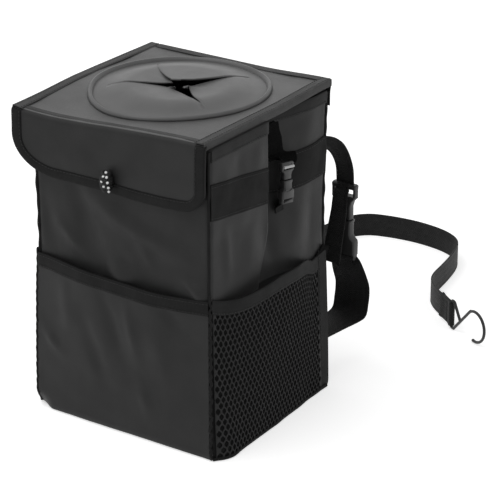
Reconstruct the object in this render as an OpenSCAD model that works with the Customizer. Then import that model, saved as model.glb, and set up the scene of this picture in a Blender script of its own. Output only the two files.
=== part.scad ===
// Foldable fabric trash bin for a car: a soft box with a hinged lid, a slit
// rubber aperture, outer pockets, side clips, and straps to hang or hook it.
// Millimetres, +Z up, the front faces -Y, origin under the middle of the base.

/* [Body] */
// Width of the box, outside
body_w = 195; // [150:1:260]
// Depth of the box, outside
body_d = 190; // [150:1:260]
// Height of the box walls, up to the hem
body_h = 293; // [240:1:360]
// Thickness of a padded wall
wall_t = 2.4; // [1.6:0.1:3.2]
// Thickness of the stiff base
base_t = 3; // [2:0.1:5]
// Radius at which the walls curl under the base
foot_r = 8; // [6:0.5:12]
// Height of the base of the walls above the ground
foot_z = 1; // [0.6:0.1:1.4]
// Diameter of the piping at the upright corners
piping_d = 3; // [2.4:0.1:4]
// Thickness of the waterproof liner
liner_t = 0.6; // [0.4:0.1:1]
// Height of the tape over the top edge
hem_h = 12; // [8:0.5:18]
// Thickness of the tape over the top edge
hem_t = 1; // [0.6:0.1:1.5]

/* [Side pleats] */
// How far the side walls fold in
pleat_depth = 11; // [4:0.5:16]
// Where the lip of the pleat lies, from the middle
pleat_y = 8; // [-10:1:20]
// Width of the lip of the pleat
pleat_lip = 9; // [6:0.5:14]
// Height over which the side pleats deepen
pleat_l = 95; // [60:1:120]
// How far below the top of the body the side pleats reach their full depth
pleat_drop = 78; // [58:1:100]

/* [Lid] */
// Width of the lid
lid_w = 203.6; // [200:0.2:216]
// How far the lid sits off centre, to the left
lid_shift = 5; // [0:0.2:5.6]
// How far the lid reaches past the front wall
lid_front = 3; // [2.6:0.1:4]
// How far the lid reaches past the back wall
lid_back = 1.7; // [1.5:0.1:3]
// Thickness of the lid lining
lining_t = 1; // [0.6:0.1:1.6]
// Thickness of the board in the lid
board_t = 3; // [2:0.1:5]
// Thickness of the lid cover
cover_t = 1.3; // [0.8:0.1:2]
// Width of the tape on the lid's edges
tape_w = 10; // [6:0.5:14]
// Thickness of the tape on the lid's edges
tape_t = 1; // [0.6:0.1:1.5]
// Height of the front flap
flap_h = 69; // [50:1:75]
// Thickness of the front flap
flap_t = 1.6; // [1:0.1:2.2]
// Corner radius of the flap on the left
flap_r_left = 36; // [20:1:44]
// Corner radius of the flap on the right
flap_r_right = 20; // [12:1:44]
// Width of the closing patches
patch_w = 70; // [40:1:120]
// Height of the closing patches
patch_h = 20; // [12:1:24]
// Thickness of the patch on the wall
patch_t = 1.2; // [0.8:0.1:1.5]
// Width of the tied pull knot
knot_w = 14; // [10:0.5:18]
// Height of the tied pull knot
knot_h = 19; // [14:0.5:24]

/* [Rubber aperture] */
// Outer diameter of the rubber disc
disc_d = 165; // [140:1:176]
// How far back the disc sits
disc_y = 5; // [0:0.5:8]
// Diameter of the hole under the disc
disc_hole_d = 150; // [120:1:154]
// Thickness of the rubber
rubber_t = 1.8; // [1.2:0.1:2.4]
// Width of the raised rim
bead_w = 5; // [3:0.5:7]
// Height of the raised rim over the disc
bead_h = 1.6; // [1:0.1:3]
// Rise of the domed middle
dome_h = 6; // [3:0.5:9]
// Length of each slit from the centre
slit_r = 58; // [40:1:62]
// Width of the slits
slit_w = 1.2; // [0.8:0.1:2]
// Turn of the slits from the diagonals
slit_turn = 8; // [0:1:20]
// Lift of the tip of the rear petal
petal_lift = 9; // [5:0.5:12]
// Sag of the tips of the other petals
petal_sag = 4; // [1:0.5:4]

/* [Pockets] */
// Height of the mouth of the front pocket
front_pocket_h = 155; // [110:1:175]
// How far the front pocket stands off
front_bulge = 9; // [7:0.5:14]
// Width of the tape on the front pocket
front_tape_w = 14; // [8:0.5:18]
// Height of the mouth of the mesh pockets
mesh_h = 146; // [110:1:170]
// How far the mesh pockets stand off
mesh_bulge = 11; // [8:0.5:15]
// Width of the tape on the mesh pockets
mesh_tape_w = 16; // [8:0.5:20]
// Width of the solid strip behind the mesh
mesh_strip_w = 13; // [8:0.5:20]
// Thickness of the pocket cloth
cloth_t = 0.9; // [0.6:0.1:1.4]
// Thickness of the pocket tapes
pocket_tape_t = 1.6; // [1:0.1:2.2]
// Openings along the mesh
mesh_columns = 15; // [9:1:15]
// Openings up the mesh
mesh_rows = 8; // [5:1:8]
// Width of the threads of the mesh
mesh_thread = 2.2; // [1.4:0.1:3]

/* [Side bands and clips] */
// Height of the bands on the sides
band_h = 35; // [20:1:40]
// How far below the top of the body the middle of the bands lies
band_drop = 60; // [53:1:65]
// How much higher the bands run at the front
band_rise = 10; // [0:1:14]
// Thickness of the bands
band_t = 0.8; // [0.5:0.1:1.2]
// Width of a side clip
clip_w = 24; // [20:0.5:28]
// Thickness of a side clip
clip_t = 7; // [6:0.5:9]
// Length of the socket of a side clip
clip_socket_l = 22; // [18:0.5:26]
// Length of the head of the plug of a side clip
clip_head_l = 17; // [14:0.5:20]
// How far below the top of the body the mouth of the side clips lies
clip_drop = 65; // [59:0.5:71]
// How far behind the lip of the pleat the side clips sit
clip_back = 18; // [15:0.5:24]
// Width of the web of the side clips
clip_web_w = 15; // [10:0.5:16]
// Free length of the web over a side clip
clip_web_l = 18; // [16:0.5:22]

/* [Back straps and buckle] */
// Width of the back buckle
buckle_w = 30; // [28:0.5:36]
// Thickness of the back buckle
buckle_t = 9; // [8:0.5:12]
// Length of the socket of the back buckle
buckle_socket_l = 38; // [32:0.5:46]
// Length of the head of the plug of the back buckle
buckle_head_l = 36; // [26:0.5:40]
// How far below the top of the body the mouth of the back buckle lies
buckle_drop = 140; // [133:1:145]
// Place of the back straps across the width
strap_x = 83; // [60:1:84]
// How far the buckle stands off the back wall
buckle_off = 48; // [44:1:56]
// Width of the back webbing
web_w = 20; // [16:0.5:22]
// Thickness of the webbing
web_t = 1.6; // [1.2:0.1:2]
// Length of the loose tail of the back webbing
tail_l = 72; // [50:1:90]
// How far the foot of the tail leans towards the wall
tail_lean = 12; // [6:0.5:16]
// Width of the lower back strap at its foot
loop_w = 38; // [30:0.5:44]
// Height at which the lower back strap leaves the wall
loop_z = 46; // [40:1:56]
// How far below the top of the body the upper back webbing leaves the wall
top_web_drop = 63; // [47:1:67]
// Length of each sewn end of the back straps
sewn_l = 18; // [12:0.5:22]

/* [Hook strap] */
// Width of the long strap with the hook
long_web_w = 25; // [18:0.5:28]
// Length of the doubled end of the long strap
end_l = 20; // [14:0.5:26]
// Thickness of the doubled end of the long strap
end_t = 3.6; // [3:0.1:4.4]
// Diameter of the wire of the hook
wire_d = 3; // [2.4:0.1:3.6]
// Radius of the bend of the hook
hook_r = 15.5; // [12:0.5:18]
// Reach of the hook from its bar to the middle of its bend
hook_reach = 45; // [40:1:52]

/* [Clearances] */
// Gap between pieces that move past each other
gap = 0.3; // [0.2:0.05:0.4]
// Running gap round the wire bar
bar_gap = 0.1; // [0.05:0.05:0.1]

/* [Hidden] */

fabric_c = [0.09, 0.09, 0.10];
tape_c = [0.05, 0.05, 0.05];
mesh_c = [0.12, 0.12, 0.13];
web_c = [0.07, 0.07, 0.07];
plastic_c = [0.16, 0.16, 0.17];
rubber_c = [0.20, 0.20, 0.21];
steel_c = [0.30, 0.30, 0.31];
liner_c = [0.35, 0.35, 0.36];
knot_c = [0.80, 0.80, 0.80];

half_w = body_w / 2;
half_d = body_d / 2;
panel_top = body_h - hem_t;
lid_z = body_h + gap + 0.4;
cover_z = lid_z + lining_t + board_t;
lid_top = cover_z + cover_t;
lid_left = -lid_shift - lid_w / 2;
lid_right = lid_left + lid_w;
lid_y0 = -half_d - lid_front;
lid_y1 = half_d + lid_back;
flap_y = lid_y0 - flap_t;
flap_low = lid_top - flap_h;
full = 360;

// Points of an arc round c in the plane of two numbers
function arc(c, r, a0, a1, n) =
    [for (i = [0:n]) c + r * [cos(a0 + (a1 - a0) * i / n), sin(a0 + (a1 - a0) * i / n)]];

// Outline of a rectangle about the origin with round corners
function round_rect(w, h, r) = concat(
    arc([w / 2 - r, -h / 2 + r], r, -90, 0, 5), arc([w / 2 - r, h / 2 - r], r, 0, 90, 5),
    arc([-w / 2 + r, h / 2 - r], r, 90, 180, 5), arc([-w / 2 + r, -h / 2 + r], r, 180, 270, 5));

function ramp(t) = let (u = max(0, min(1, t))) u * u * (3 - 2 * u);

// How far the walls have curled in at height z
function foot_in(z) = z >= foot_r ? 0 : foot_r - sqrt(foot_r * foot_r - (foot_r - z) * (foot_r - z));

// Share of the pleat at depth y, from 0 on the wall to 1 at the bottom of the fold
function pleat_share(y) =
    y <= pleat_y ? 0 :
    y < pleat_y + pleat_lip ? (y - pleat_y) / pleat_lip :
    max(0, 1 - (y - pleat_y - pleat_lip) / (half_d - 8 - pleat_y - pleat_lip));

pleat_high = body_h - pleat_drop;
pleat_low = pleat_high - pleat_l;

// Outer face of the right wall, from the middle of the box
function side_x(y, z) =
    half_w - foot_in(z)
    - pleat_depth * pleat_share(y) * ramp((z - pleat_low) / (pleat_high - pleat_low));

foot_levels = [for (z = [foot_z, 2, 3.4, 5.4, foot_r]) max(z, foot_z)];
pleat_levels = [for (i = [0:5]) pleat_low + (pleat_high - pleat_low) * i / 5];
side_levels = concat(foot_levels, pleat_levels, [panel_top]);
side_ys = [
    -half_d + piping_d, -half_d / 2, pleat_y - 12, pleat_y, pleat_y + pleat_lip / 2,
    pleat_y + pleat_lip, pleat_y + pleat_lip + 12, (pleat_y + pleat_lip + half_d) / 2,
    half_d - 8, half_d - piping_d,
];

// Closed solid through a list of rings, each counter-clockwise seen from the next one. The points
// of a ring face each other in pairs, first and last. round = true joins the last ring to the first.
module loft(rings, round = false) {
    n = len(rings[0]);
    m = len(rings);
    last = round ? m - 1 : m - 2;
    sides = [for (k = [0:last], j = [0:n - 1])
        let (a = k * n + j, d = k * n + (j + 1) % n,
             b = (k + 1) % m * n + j, c = (k + 1) % m * n + (j + 1) % n)
        each [[a, b, c], [a, c, d]]];
    top = (m - 1) * n;
    ends = round ? [] : [for (j = [0:n / 2 - 2])
        each [[j, j + 1, n - 2 - j, n - 1 - j],
            [top + n - 1 - j, top + n - 2 - j, top + j + 1, top + j]]];
    polyhedron([for (ring = rings) each ring], concat(sides, ends));
}

// Strip of wall at height z between two lists of plan points, outer face first
function strip(outer, inner, z) = concat(
    [for (p = outer) [p.x, p.y, z]], [for (i = [len(inner) - 1:-1:0]) [inner[i].x, inner[i].y, z]]);

// Plan of the box at height z, moved out by grow, counter-clockwise
function plan(z, grow) = let (
    w = half_w - foot_in(z) + grow, d = half_d - foot_in(z) + grow,
    ys = [for (i = [1:len(side_ys) - 2]) side_ys[i]])
    concat(
        [[w, -d, z]], [for (y = ys) [side_x(y, z) + grow, y, z]], [[w, d, z]],
        [[-w, d, z]], [for (i = [len(ys) - 1:-1:0]) [-side_x(ys[i], z) - grow, ys[i], z]],
        [[-w, -d, z]]);

module base_panel() color(fabric_c) {
    edge = foot_in(foot_z) + wall_t + gap;
    translate([0, 0, base_t / 2])
        cube([body_w - 2 * edge, body_d - 2 * edge, base_t], center = true);
}

module end_panel(side) {
    x = half_w - piping_d;
    loft([for (z = concat(foot_levels, [panel_top]))
        let (y = half_d - foot_in(z))
        strip([[-x, -y], [0, -y], [x, -y]], [[-x, wall_t - y], [0, wall_t - y], [x, wall_t - y]], z)]);
}

module front_panel() color(fabric_c) end_panel();

module back_panel() color(fabric_c) rotate([0, 0, 180]) end_panel();

module right_panel() color(fabric_c)
    loft([for (z = side_levels) strip(
        [for (y = side_ys) [side_x(y, z), y]], [for (y = side_ys) [side_x(y, z) - wall_t, y]], z)]);

module left_panel() mirror([1, 0, 0]) right_panel();

module waterproof_liner() color(liner_c) {
    out = -max(wall_t, piping_d) - 0.05;
    low = base_t + 0.05;
    levels = concat([low, max(low + 1, foot_r)], pleat_levels, [body_h - hem_h]);
    inside = concat([low + liner_t, max(low + 1, foot_r)], pleat_levels, [body_h - hem_h]);
    loft(concat(
        [for (z = levels) plan(z, out)],
        [for (i = [len(inside) - 1:-1:0]) plan(inside[i], out - liner_t)]));
}

module rim_hem() color(tape_c) {
    top = body_h;
    low = body_h - hem_h;
    loft([
        plan(low, 0.05), plan(low, hem_t), plan(top, hem_t), plan(top, -wall_t),
        plan(panel_top + 0.05, -wall_t), plan(panel_top + 0.05, 0.05),
    ], round = true);
}

module piping(sx, sy) color(tape_c) {
    low = foot_r;
    translate([sx * (half_w - piping_d / 2), sy * (half_d - piping_d / 2), low])
        cylinder(h = panel_top - low, d = piping_d, $fn = 24);
}

// How far a pocket stands off at share u along it and share v up it
function swell(u, v) = sin(180 * max(0, min(1, u))) * pow(max(0, min(1, v)), 0.7);

// Front pocket cloth between two heights
module front_cloth(z0, z1, thick, out) {
    x1 = half_w - piping_d;
    xs = [for (i = [0:14]) -x1 + 2 * x1 * i / 14];
    zs = concat([for (z = foot_levels) if (z >= z0 && z < z1) z],
        [for (i = [0:8]) if (z0 + (z1 - z0) * i / 8 > foot_r) z0 + (z1 - z0) * i / 8]);
    loft([for (z = zs) strip(
        [for (x = xs) [x, -half_d + foot_in(z) - out - thick - front_bulge * fold(x, x1, z)]],
        [for (x = xs) [x, -half_d + foot_in(z) - out - front_bulge * fold(x, x1, z)]], z)]);
}

// The soft upright folds of the front pocket
function fold(x, x1, z) = swell((x / x1 + 1) / 2, z / front_pocket_h)
    * (1 - 0.22 * (1 + sin(4 * x + 0.6 * z)) / 2);

module front_pocket() color(fabric_c)
    front_cloth(foot_z, front_pocket_h - front_tape_w, cloth_t, gap);

module front_pocket_binding() color(tape_c)
    front_cloth(front_pocket_h - front_tape_w, front_pocket_h, pocket_tape_t, gap);

mesh_y0 = -half_d + piping_d;
mesh_y1 = half_d - piping_d - mesh_strip_w;

// Point of the inner face of the right mesh pocket, moved out by out
function mesh_point(u, z, out) = [
    half_w - foot_in(z) + gap + out + mesh_bulge * swell(u, z / mesh_h),
    mesh_y0 + (mesh_y1 - mesh_y0) * u, z];

// One wall of cloth with a diamond opening in each cell of a grid
module perforated(columns, rows, z0, z1, thick) {
    n = columns + 1;
    size = n * (rows + 1);
    us = [for (j = [0:columns]) j / columns];
    zs = [for (i = [0:rows]) z0 + (z1 - z0) * i / rows];
    step_u = 1 / columns;
    step_z = (z1 - z0) / rows;
    in_u = mesh_thread / 2 / (mesh_y1 - mesh_y0);
    in_z = mesh_thread / 2;
    holes = [for (i = [0:rows - 1], j = [0:columns - 1])
        let (u = us[j] + step_u / 2, z = zs[i] + step_z / 2)
        each [[us[j] + in_u, z], [u, zs[i + 1] - in_z], [us[j + 1] - in_u, z], [u, zs[i] + in_z]]];
    grid = [for (z = zs, u = us) [u, z]];
    flat_points = concat(grid, holes);
    count = len(flat_points);
    points = concat(
        [for (p = flat_points) mesh_point(p.x, p.y, thick)],
        [for (p = flat_points) mesh_point(p.x, p.y, 0)]);
    cells = [for (i = [0:rows - 1], j = [0:columns - 1])
        let (a = i * n + j, b = a + n, c = b + 1, d = a + 1, h = size + 4 * (i * columns + j),
             l = h, t = h + 1, r = h + 2, s = h + 3)
        each [[a, b, l], [b, c, t], [c, d, r], [d, a, s], [b, t, l], [c, r, t], [d, s, r], [a, l, s]]];
    walls = [for (k = [0:rows * columns - 1], q = [0:3])
        let (p = size + 4 * k + q, o = size + 4 * k + (q + 1) % 4)
        each [[p, o, o + count], [p, o + count, p + count]]];
    rim = concat(
        [for (j = [0:columns - 1]) [j, j + 1]],
        [for (j = [0:columns - 1]) [rows * n + j + 1, rows * n + j]],
        [for (i = [0:rows - 1]) [(i + 1) * n, i * n]],
        [for (i = [0:rows - 1]) [i * n + columns, (i + 1) * n + columns]]);
    edges = [for (e = rim) each [[e[0], e[1], e[1] + count], [e[0], e[1] + count, e[0] + count]]];
    polyhedron(points, concat(cells,
        [for (f = cells) [f[2] + count, f[1] + count, f[0] + count]], walls, edges));
}

module right_mesh_pocket() color(mesh_c)
    perforated(mesh_columns, mesh_rows, foot_r, mesh_h - mesh_tape_w, cloth_t);

module right_mesh_binding() color(tape_c) {
    us = [for (i = [0:16]) i / 16];
    loft([for (i = [0:2]) let (z = mesh_h - mesh_tape_w * (1 - i / 2))
        concat([for (u = us) mesh_point(u, z, pocket_tape_t)],
            [for (k = [16:-1:0]) mesh_point(us[k], z, 0)])]);
}

module right_mesh_strip() color(tape_c)
    translate([half_w + gap, mesh_y1 + 0.05, foot_r])
        cube([cloth_t, mesh_strip_w - 0.05, mesh_h - foot_r]);

module left_mesh_pocket() mirror([1, 0, 0]) right_mesh_pocket();

module left_mesh_binding() mirror([1, 0, 0]) right_mesh_binding();

module left_mesh_strip() mirror([1, 0, 0]) right_mesh_strip();

band_z = body_h - band_drop;

// Point on the right wall at depth y, moved out by out, at height z of the level part of the band
function band_point(y, z, out) =
    let (up = z + band_rise * max(0, (pleat_y - y) / (half_d + pleat_y)))
    [side_x(y, up) + out, y, up];

module right_band() color(fabric_c)
    loft([for (k = [0:4]) let (z = band_z + band_h * (k / 4 - 0.5), last = len(side_ys) - 1)
        concat([for (y = side_ys) band_point(y, z, 0.05 + band_t)],
            [for (i = [last:-1:0]) band_point(side_ys[i], z, 0.05)])]);

module left_band() mirror([1, 0, 0]) right_band();

patch_z = flap_low + tape_w + 14;

module closure_loop_patch() color(tape_c)
    translate([-lid_shift - patch_w / 2, -half_d - patch_t, patch_z])
        cube([patch_w, patch_t, patch_h]);

module closure_hook_patch() color(tape_c)
    translate([-lid_shift - patch_w / 2, lid_y0, patch_z])
        cube([patch_w, lid_front - patch_t - gap, patch_h]);

hinge_y = lid_y1 + gap;

module lid_hinge_strip() color(fabric_c)
    translate([-half_w + piping_d, half_d + hem_t, body_h - hem_h - 4])
        cube([body_w - 2 * piping_d, hinge_y - half_d - hem_t, lid_z - gap - body_h + hem_h + 4]);

module lid_layer(z, thick, hole) difference() {
    translate([lid_left + tape_t, lid_y0, z])
        cube([lid_w - 2 * tape_t, lid_y1 - lid_y0, thick]);
    translate([-lid_shift, disc_y, z - 1]) cylinder(h = thick + 2, d = hole, $fn = 96);
}

module lid_lining() color(fabric_c) lid_layer(lid_z, lining_t, disc_hole_d);

module lid_board() color("dimgray") lid_layer(lid_z + lining_t, board_t, disc_hole_d);

module lid_cover() color(fabric_c) lid_layer(cover_z, cover_t, disc_hole_d);

module lid_binding_right() color(tape_c)
    translate([lid_right - tape_t, lid_y0, lid_z]) {
        cube([tape_t, lid_y1 - lid_y0, lid_top - lid_z]);
        translate([tape_t - tape_w, 0, lid_top - lid_z])
            cube([tape_w, lid_y1 - lid_y0, tape_t]);
    }

module lid_binding_left() translate([-2 * lid_shift, 0, 0]) mirror([1, 0, 0]) lid_binding_right();

// Outline of the flap seen from the front, drawn in by cut at its sides and foot
function flap_outline(cut) = let (
    x0 = lid_left + cut, x1 = lid_right - cut, low = flap_low + cut,
    rl = flap_r_left - cut, rr = flap_r_right - cut)
    concat([[x1, lid_top], [x0, lid_top]],
        arc([x0 + rl, low + rl], rl, 180, 270, 8),
        arc([x1 - rr, low + rr], rr, 270, 360, 6));

module lid_flap() color(fabric_c)
    translate([0, lid_y0, 0]) rotate([90, 0, 0])
        linear_extrude(flap_t) polygon(flap_outline(tape_t));

module lid_flap_binding() color(tape_c)
    translate([0, lid_y0, 0]) rotate([90, 0, 0]) difference() {
        linear_extrude(flap_t + tape_t) polygon(flap_outline(0));
        translate([0, 0, -1]) linear_extrude(flap_t + 1) polygon(flap_outline(tape_t));
        translate([0, 0, flap_t - 1]) linear_extrude(tape_t + 2) polygon(flap_outline(tape_w));
        translate([lid_left - 1, lid_top - tape_t, -1]) cube([lid_w + 2, tape_t + 1, flap_t + tape_t + 2]);
    }

disc_r = disc_d / 2;
petal_tip_r = 2.5;
disc_rs = concat([for (i = [0:5]) petal_tip_r + (slit_r - petal_tip_r) * i / 5],
    [disc_r - bead_w - 7, disc_r - bead_w - 1, disc_r - bead_w, disc_r - bead_w * 0.7,
     disc_r - bead_w * 0.3, disc_r]);
slit_rings = 5;
petal_steps = 8;

// Rise of the upper face of the rubber over the lid at radius r, in petal q
function disc_z(r, q) =
    r >= disc_r - bead_w ? rubber_t + bead_h * sin(180 * (disc_r - r) / bead_w) :
    rubber_t + dome_h * ramp((disc_r - bead_w - r) / 30)
    + (q == 1 ? petal_lift : -petal_sag) * pow(max(0, 1 - r / slit_r), 1.5);

module rubber_aperture() color(rubber_c) {
    m = len(disc_rs);
    per = petal_steps + 1;
    count = m * 4 * per;
    verts = [for (r = disc_rs, q = [0:3], j = [0:petal_steps])
        let (open = r < slit_r - 0.01 ? asin(slit_w / 2 / r) : 0,
             a = (q - 0.5) * 90 + slit_turn + open + (90 - 2 * open) * j / petal_steps)
        [-lid_shift + r * cos(a), disc_y + r * sin(a), lid_top + disc_z(r, q)]];
    lower = [for (i = [0:m - 1], k = [0:4 * per - 1])
        let (p = verts[i * 4 * per + k])
        [p.x, p.y, disc_rs[i] < disc_hole_d / 2 - 4 ? p.z - rubber_t : lid_top]];
    // Past the slits the two edges of neighbouring petals are one
    id = function (i, q, j) i >= slit_rings && j == petal_steps
        ? i * 4 * per + (q + 1) % 4 * per : i * 4 * per + q * per + j;
    top = [for (i = [0:m - 2], q = [0:3], j = [0:petal_steps - 1])
        let (a = id(i, q, j), b = id(i, q, j + 1), c = id(i + 1, q, j + 1), d = id(i + 1, q, j))
        each [[a, b, c], [a, c, d]]];
    rim = [for (q = [0:3], j = [0:petal_steps - 1]) [id(m - 1, q, j), id(m - 1, q, j + 1)]];
    tips = [for (q = [0:3], j = [0:petal_steps - 1]) [id(0, q, j + 1), id(0, q, j)]];
    slits = [for (i = [0:slit_rings - 1], q = [0:3])
        each [[id(i, q, 0), id(i + 1, q, 0)], [id(i + 1, q, petal_steps), id(i, q, petal_steps)]]];
    edges = [for (e = concat(rim, tips, slits))
        each [[e[0], e[1], e[1] + count], [e[0], e[1] + count, e[0] + count]]];
    polyhedron(concat(verts, lower), concat(top,
        [for (f = top) [f[2] + count, f[1] + count, f[0] + count]], edges));
}

module pull_knot() color(knot_c)
    translate([-lid_shift - 4, flap_y - knot_w / 2 - 0.05, flap_low + tape_w - 4 + knot_h / 2])
        rotate_extrude($fn = 24)
            polygon([for (i = [0:12]) let (a = -90 + 15 * i)
                [knot_w / 2 * cos(a), knot_h / 2 * sin(a)]]);

// Parts of a side release clip. The mouth of the socket is the plane z = 0,
// the width runs along x and the thickness along y.
bar_d = 3;
lug_w = 2.6;

module slab(w, thick, z0, z1, r) translate([0, thick / 2, (z0 + z1) / 2])
    rotate([90, 0, 0]) linear_extrude(thick) polygon(round_rect(w, z1 - z0, r));

module clip_socket(w, thick, l, lug_l) {
    wall = 1.2;
    side = 2.4;
    difference() {
        slab(w, thick, -l, 0, 2.4);
        translate([-w / 2 + side, -thick / 2 + wall, lug_l + 2 - l])
            cube([w - 2 * side, thick - 2 * wall, l]);
        for (s = [-1, 1]) translate([s * w / 2, 0, -l * 0.42])
            cube([2 * side + 0.4, thick - 2 * wall, l * 0.34], center = true);
        translate([-w / 2 + lug_w, -thick, -l - 1]) cube([w - 2 * lug_w, 2 * thick, lug_l + 1]);
    }
    translate([-w / 2 + lug_w / 2, 0, bar_d - l]) rotate([0, 90, 0])
        cylinder(h = w - lug_w, d = bar_d, $fn = 24);
}

module clip_plug(w, thick, head_l, prong_l, lug_l) {
    reach = w / 2 - 2.4 - gap;
    inner = thick - 2.4 - 2 * gap;
    difference() {
        slab(w, thick, gap, head_l, 2.4);
        translate([-w / 2 + lug_w, -thick, head_l - lug_l]) cube([w - 2 * lug_w, 2 * thick, lug_l + 1]);
    }
    translate([-w / 2 + lug_w / 2, 0, head_l - bar_d]) rotate([0, 90, 0])
        cylinder(h = w - lug_w, d = bar_d, $fn = 24);
    translate([-w / 12, -inner / 2, -prong_l]) cube([w / 6, inner, prong_l + 1]);
    for (s = [0, 1]) mirror([s, 0, 0]) translate([0, inner / 2, 0]) rotate([90, 0, 0])
        linear_extrude(inner) polygon([
            [reach - 2.6, 1], [reach - 1.2, 1], [reach - 1.2, -prong_l * 0.4], [reach, -prong_l * 0.5],
            [reach, -prong_l * 0.62], [reach - 1.6, -prong_l], [reach - 3.4, -prong_l],
            [reach - 3.4, -prong_l * 0.4]]);
}

// Loop of web round a bar along x, with its doubled tail up to z = up
module web_loop(w, thick, up) {
    eye = bar_d / 2 + bar_gap;
    difference() {
        union() {
            rotate([0, 90, 0]) cylinder(h = w, r = eye + thick, center = true, $fn = 32);
            translate([-w / 2, -thick, 0]) cube([w, 2 * thick, up]);
        }
        rotate([0, 90, 0]) cylinder(h = w + 2, r = eye, center = true, $fn = 32);
    }
}

clip_y = pleat_y + clip_back;
clip_z = body_h - clip_drop;
clip_x = side_x(clip_y - clip_w / 2, clip_z) > half_w - 4
    ? half_w + gap + clip_t / 2 : half_w - 2.5;
clip_lug = 7;
clip_prong = clip_socket_l - clip_lug - 3;

// Puts a right side clip in its place
module at_clip() translate([clip_x, clip_y, clip_z]) rotate([0, 0, 90]) children();

module right_clip_socket() color(plastic_c) at_clip()
    clip_socket(clip_w, clip_t, clip_socket_l, clip_lug);

module right_clip_plug() color(plastic_c) at_clip()
    clip_plug(clip_w, clip_t, clip_head_l, clip_prong, clip_lug);

tab_t = 0.9;

// Web from a bar at height z to the band, up or down by the sign of s
module clip_tab(z, s) color(web_c) {
    x_wall = side_x(clip_y - clip_web_w / 2, z) > side_x(clip_y + clip_web_w / 2, z)
        ? side_x(clip_y - clip_web_w / 2, z + s * clip_web_l)
        : side_x(clip_y + clip_web_w / 2, z + s * clip_web_l);
    translate([0, clip_y, z]) difference() {
        union() {
            translate([clip_x, 0, 0]) rotate([90, 0, 0])
                cylinder(h = clip_web_w, r = bar_d / 2 + bar_gap + tab_t, center = true, $fn = 32);
            rotate([90, 0, 0]) translate([0, 0, -clip_web_w / 2]) linear_extrude(clip_web_w)
                polygon([[clip_x + tab_t, 0], [x_wall + band_t + gap + 2 * tab_t, s * clip_web_l],
                    [x_wall + band_t + gap + 2 * tab_t, s * (clip_web_l + 5)],
                    [x_wall + band_t + gap, s * (clip_web_l + 5)],
                    [x_wall + band_t + gap, s * clip_web_l], [clip_x - tab_t, 0]]);
        }
        translate([clip_x, 0, 0]) rotate([90, 0, 0])
            cylinder(h = clip_web_w + 2, r = bar_d / 2 + bar_gap, center = true, $fn = 32);
    }
}

module right_clip_upper_tab() clip_tab(clip_z + clip_head_l - bar_d, 1);

module right_clip_lower_tab() clip_tab(clip_z - clip_socket_l + bar_d, -1);

module left_clip_socket() mirror([1, 0, 0]) right_clip_socket();

module left_clip_plug() mirror([1, 0, 0]) right_clip_plug();

module left_clip_upper_tab() mirror([1, 0, 0]) right_clip_upper_tab();

module left_clip_lower_tab() mirror([1, 0, 0]) right_clip_lower_tab();

buckle_y = half_d + buckle_off;
buckle_lug = 9;
buckle_prong = buckle_socket_l - buckle_lug - 4;
buckle_z = body_h - buckle_drop;
top_web_z = body_h - top_web_drop;
socket_bar_z = buckle_z - buckle_socket_l + bar_d;
plug_bar_z = buckle_z + buckle_head_l - bar_d;

module at_buckle() translate([strap_x, buckle_y, buckle_z]) children();

module back_buckle_socket() color(plastic_c) at_buckle()
    clip_socket(buckle_w, buckle_t, buckle_socket_l, buckle_lug);

module back_buckle_plug() color(plastic_c) at_buckle()
    clip_plug(buckle_w, buckle_t, buckle_head_l, buckle_prong, buckle_lug);

// Unit normal of a path of [y, z] points at point i, to the left of its direction
function path_normal(path, i) = let (
    a = path[max(i - 1, 0)], b = path[min(i + 1, len(path) - 1)], d = (b - a) / norm(b - a))
    [-d.y, d.x];

// Web that follows a path in the y-z plane, with its own width at each point
module side_web(path, widths, thick)
    loft([for (i = [0:len(path) - 1]) let (
        n = path_normal(path, i) * thick / 2, p = path[i], w = widths[i] / 2)
        [[strap_x - w, p.x + n.x, p.y + n.y], [strap_x + w, p.x + n.x, p.y + n.y],
         [strap_x + w, p.x - n.x, p.y - n.y], [strap_x - w, p.x - n.x, p.y - n.y]]]);

wall_y = half_d + 0.1 + web_t / 2;

module back_loop_strap() color(web_c) {
    bar = [buckle_y, socket_bar_z];
    eye = bar_d / 2 + bar_gap;
    top = [buckle_y, socket_bar_z - eye - web_t / 2 - 0.3];
    out = buckle_off + 12;
    rise = top.y - loop_z;
    path = [
        [wall_y, loop_z - sewn_l], [wall_y, loop_z - 4],
        [wall_y + 4, loop_z], [half_d + out * 0.55, loop_z + 1], [half_d + out * 0.85, loop_z + 6],
        [half_d + out * 0.98, loop_z + rise * 0.26], [half_d + out, loop_z + rise * 0.46],
        [half_d + out * 0.93, loop_z + rise * 0.72], top];
    spread = loop_w - web_w;
    widths = [for (i = [0:len(path) - 1])
        web_w + spread * (1 - ramp((i - 4) / 4))];
    side_web(path, widths, web_t);
    translate([strap_x, bar.x, bar.y]) mirror([0, 0, 1]) web_loop(web_w, web_t / 2, eye + web_t);
}

module back_upper_web() color(web_c) {
    eye = bar_d / 2 + bar_gap;
    rise = top_web_z - plug_bar_z;
    path = [
        [buckle_y, plug_bar_z + eye + web_t / 2 + 0.3],
        [buckle_y - buckle_off * 0.07, plug_bar_z + rise * 0.46],
        [buckle_y - buckle_off * 0.19, plug_bar_z + rise * 0.78],
        [buckle_y - buckle_off * 0.38, plug_bar_z + rise * 0.98],
        [buckle_y - buckle_off * 0.65, plug_bar_z + rise * 1.03],
        [wall_y + 4, top_web_z], [wall_y, top_web_z + 4], [wall_y, top_web_z + sewn_l]];
    side_web(path, [for (p = path) web_w], web_t);
    translate([strap_x, buckle_y, plug_bar_z]) web_loop(web_w, web_t / 2, eye + web_t);
}

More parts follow.
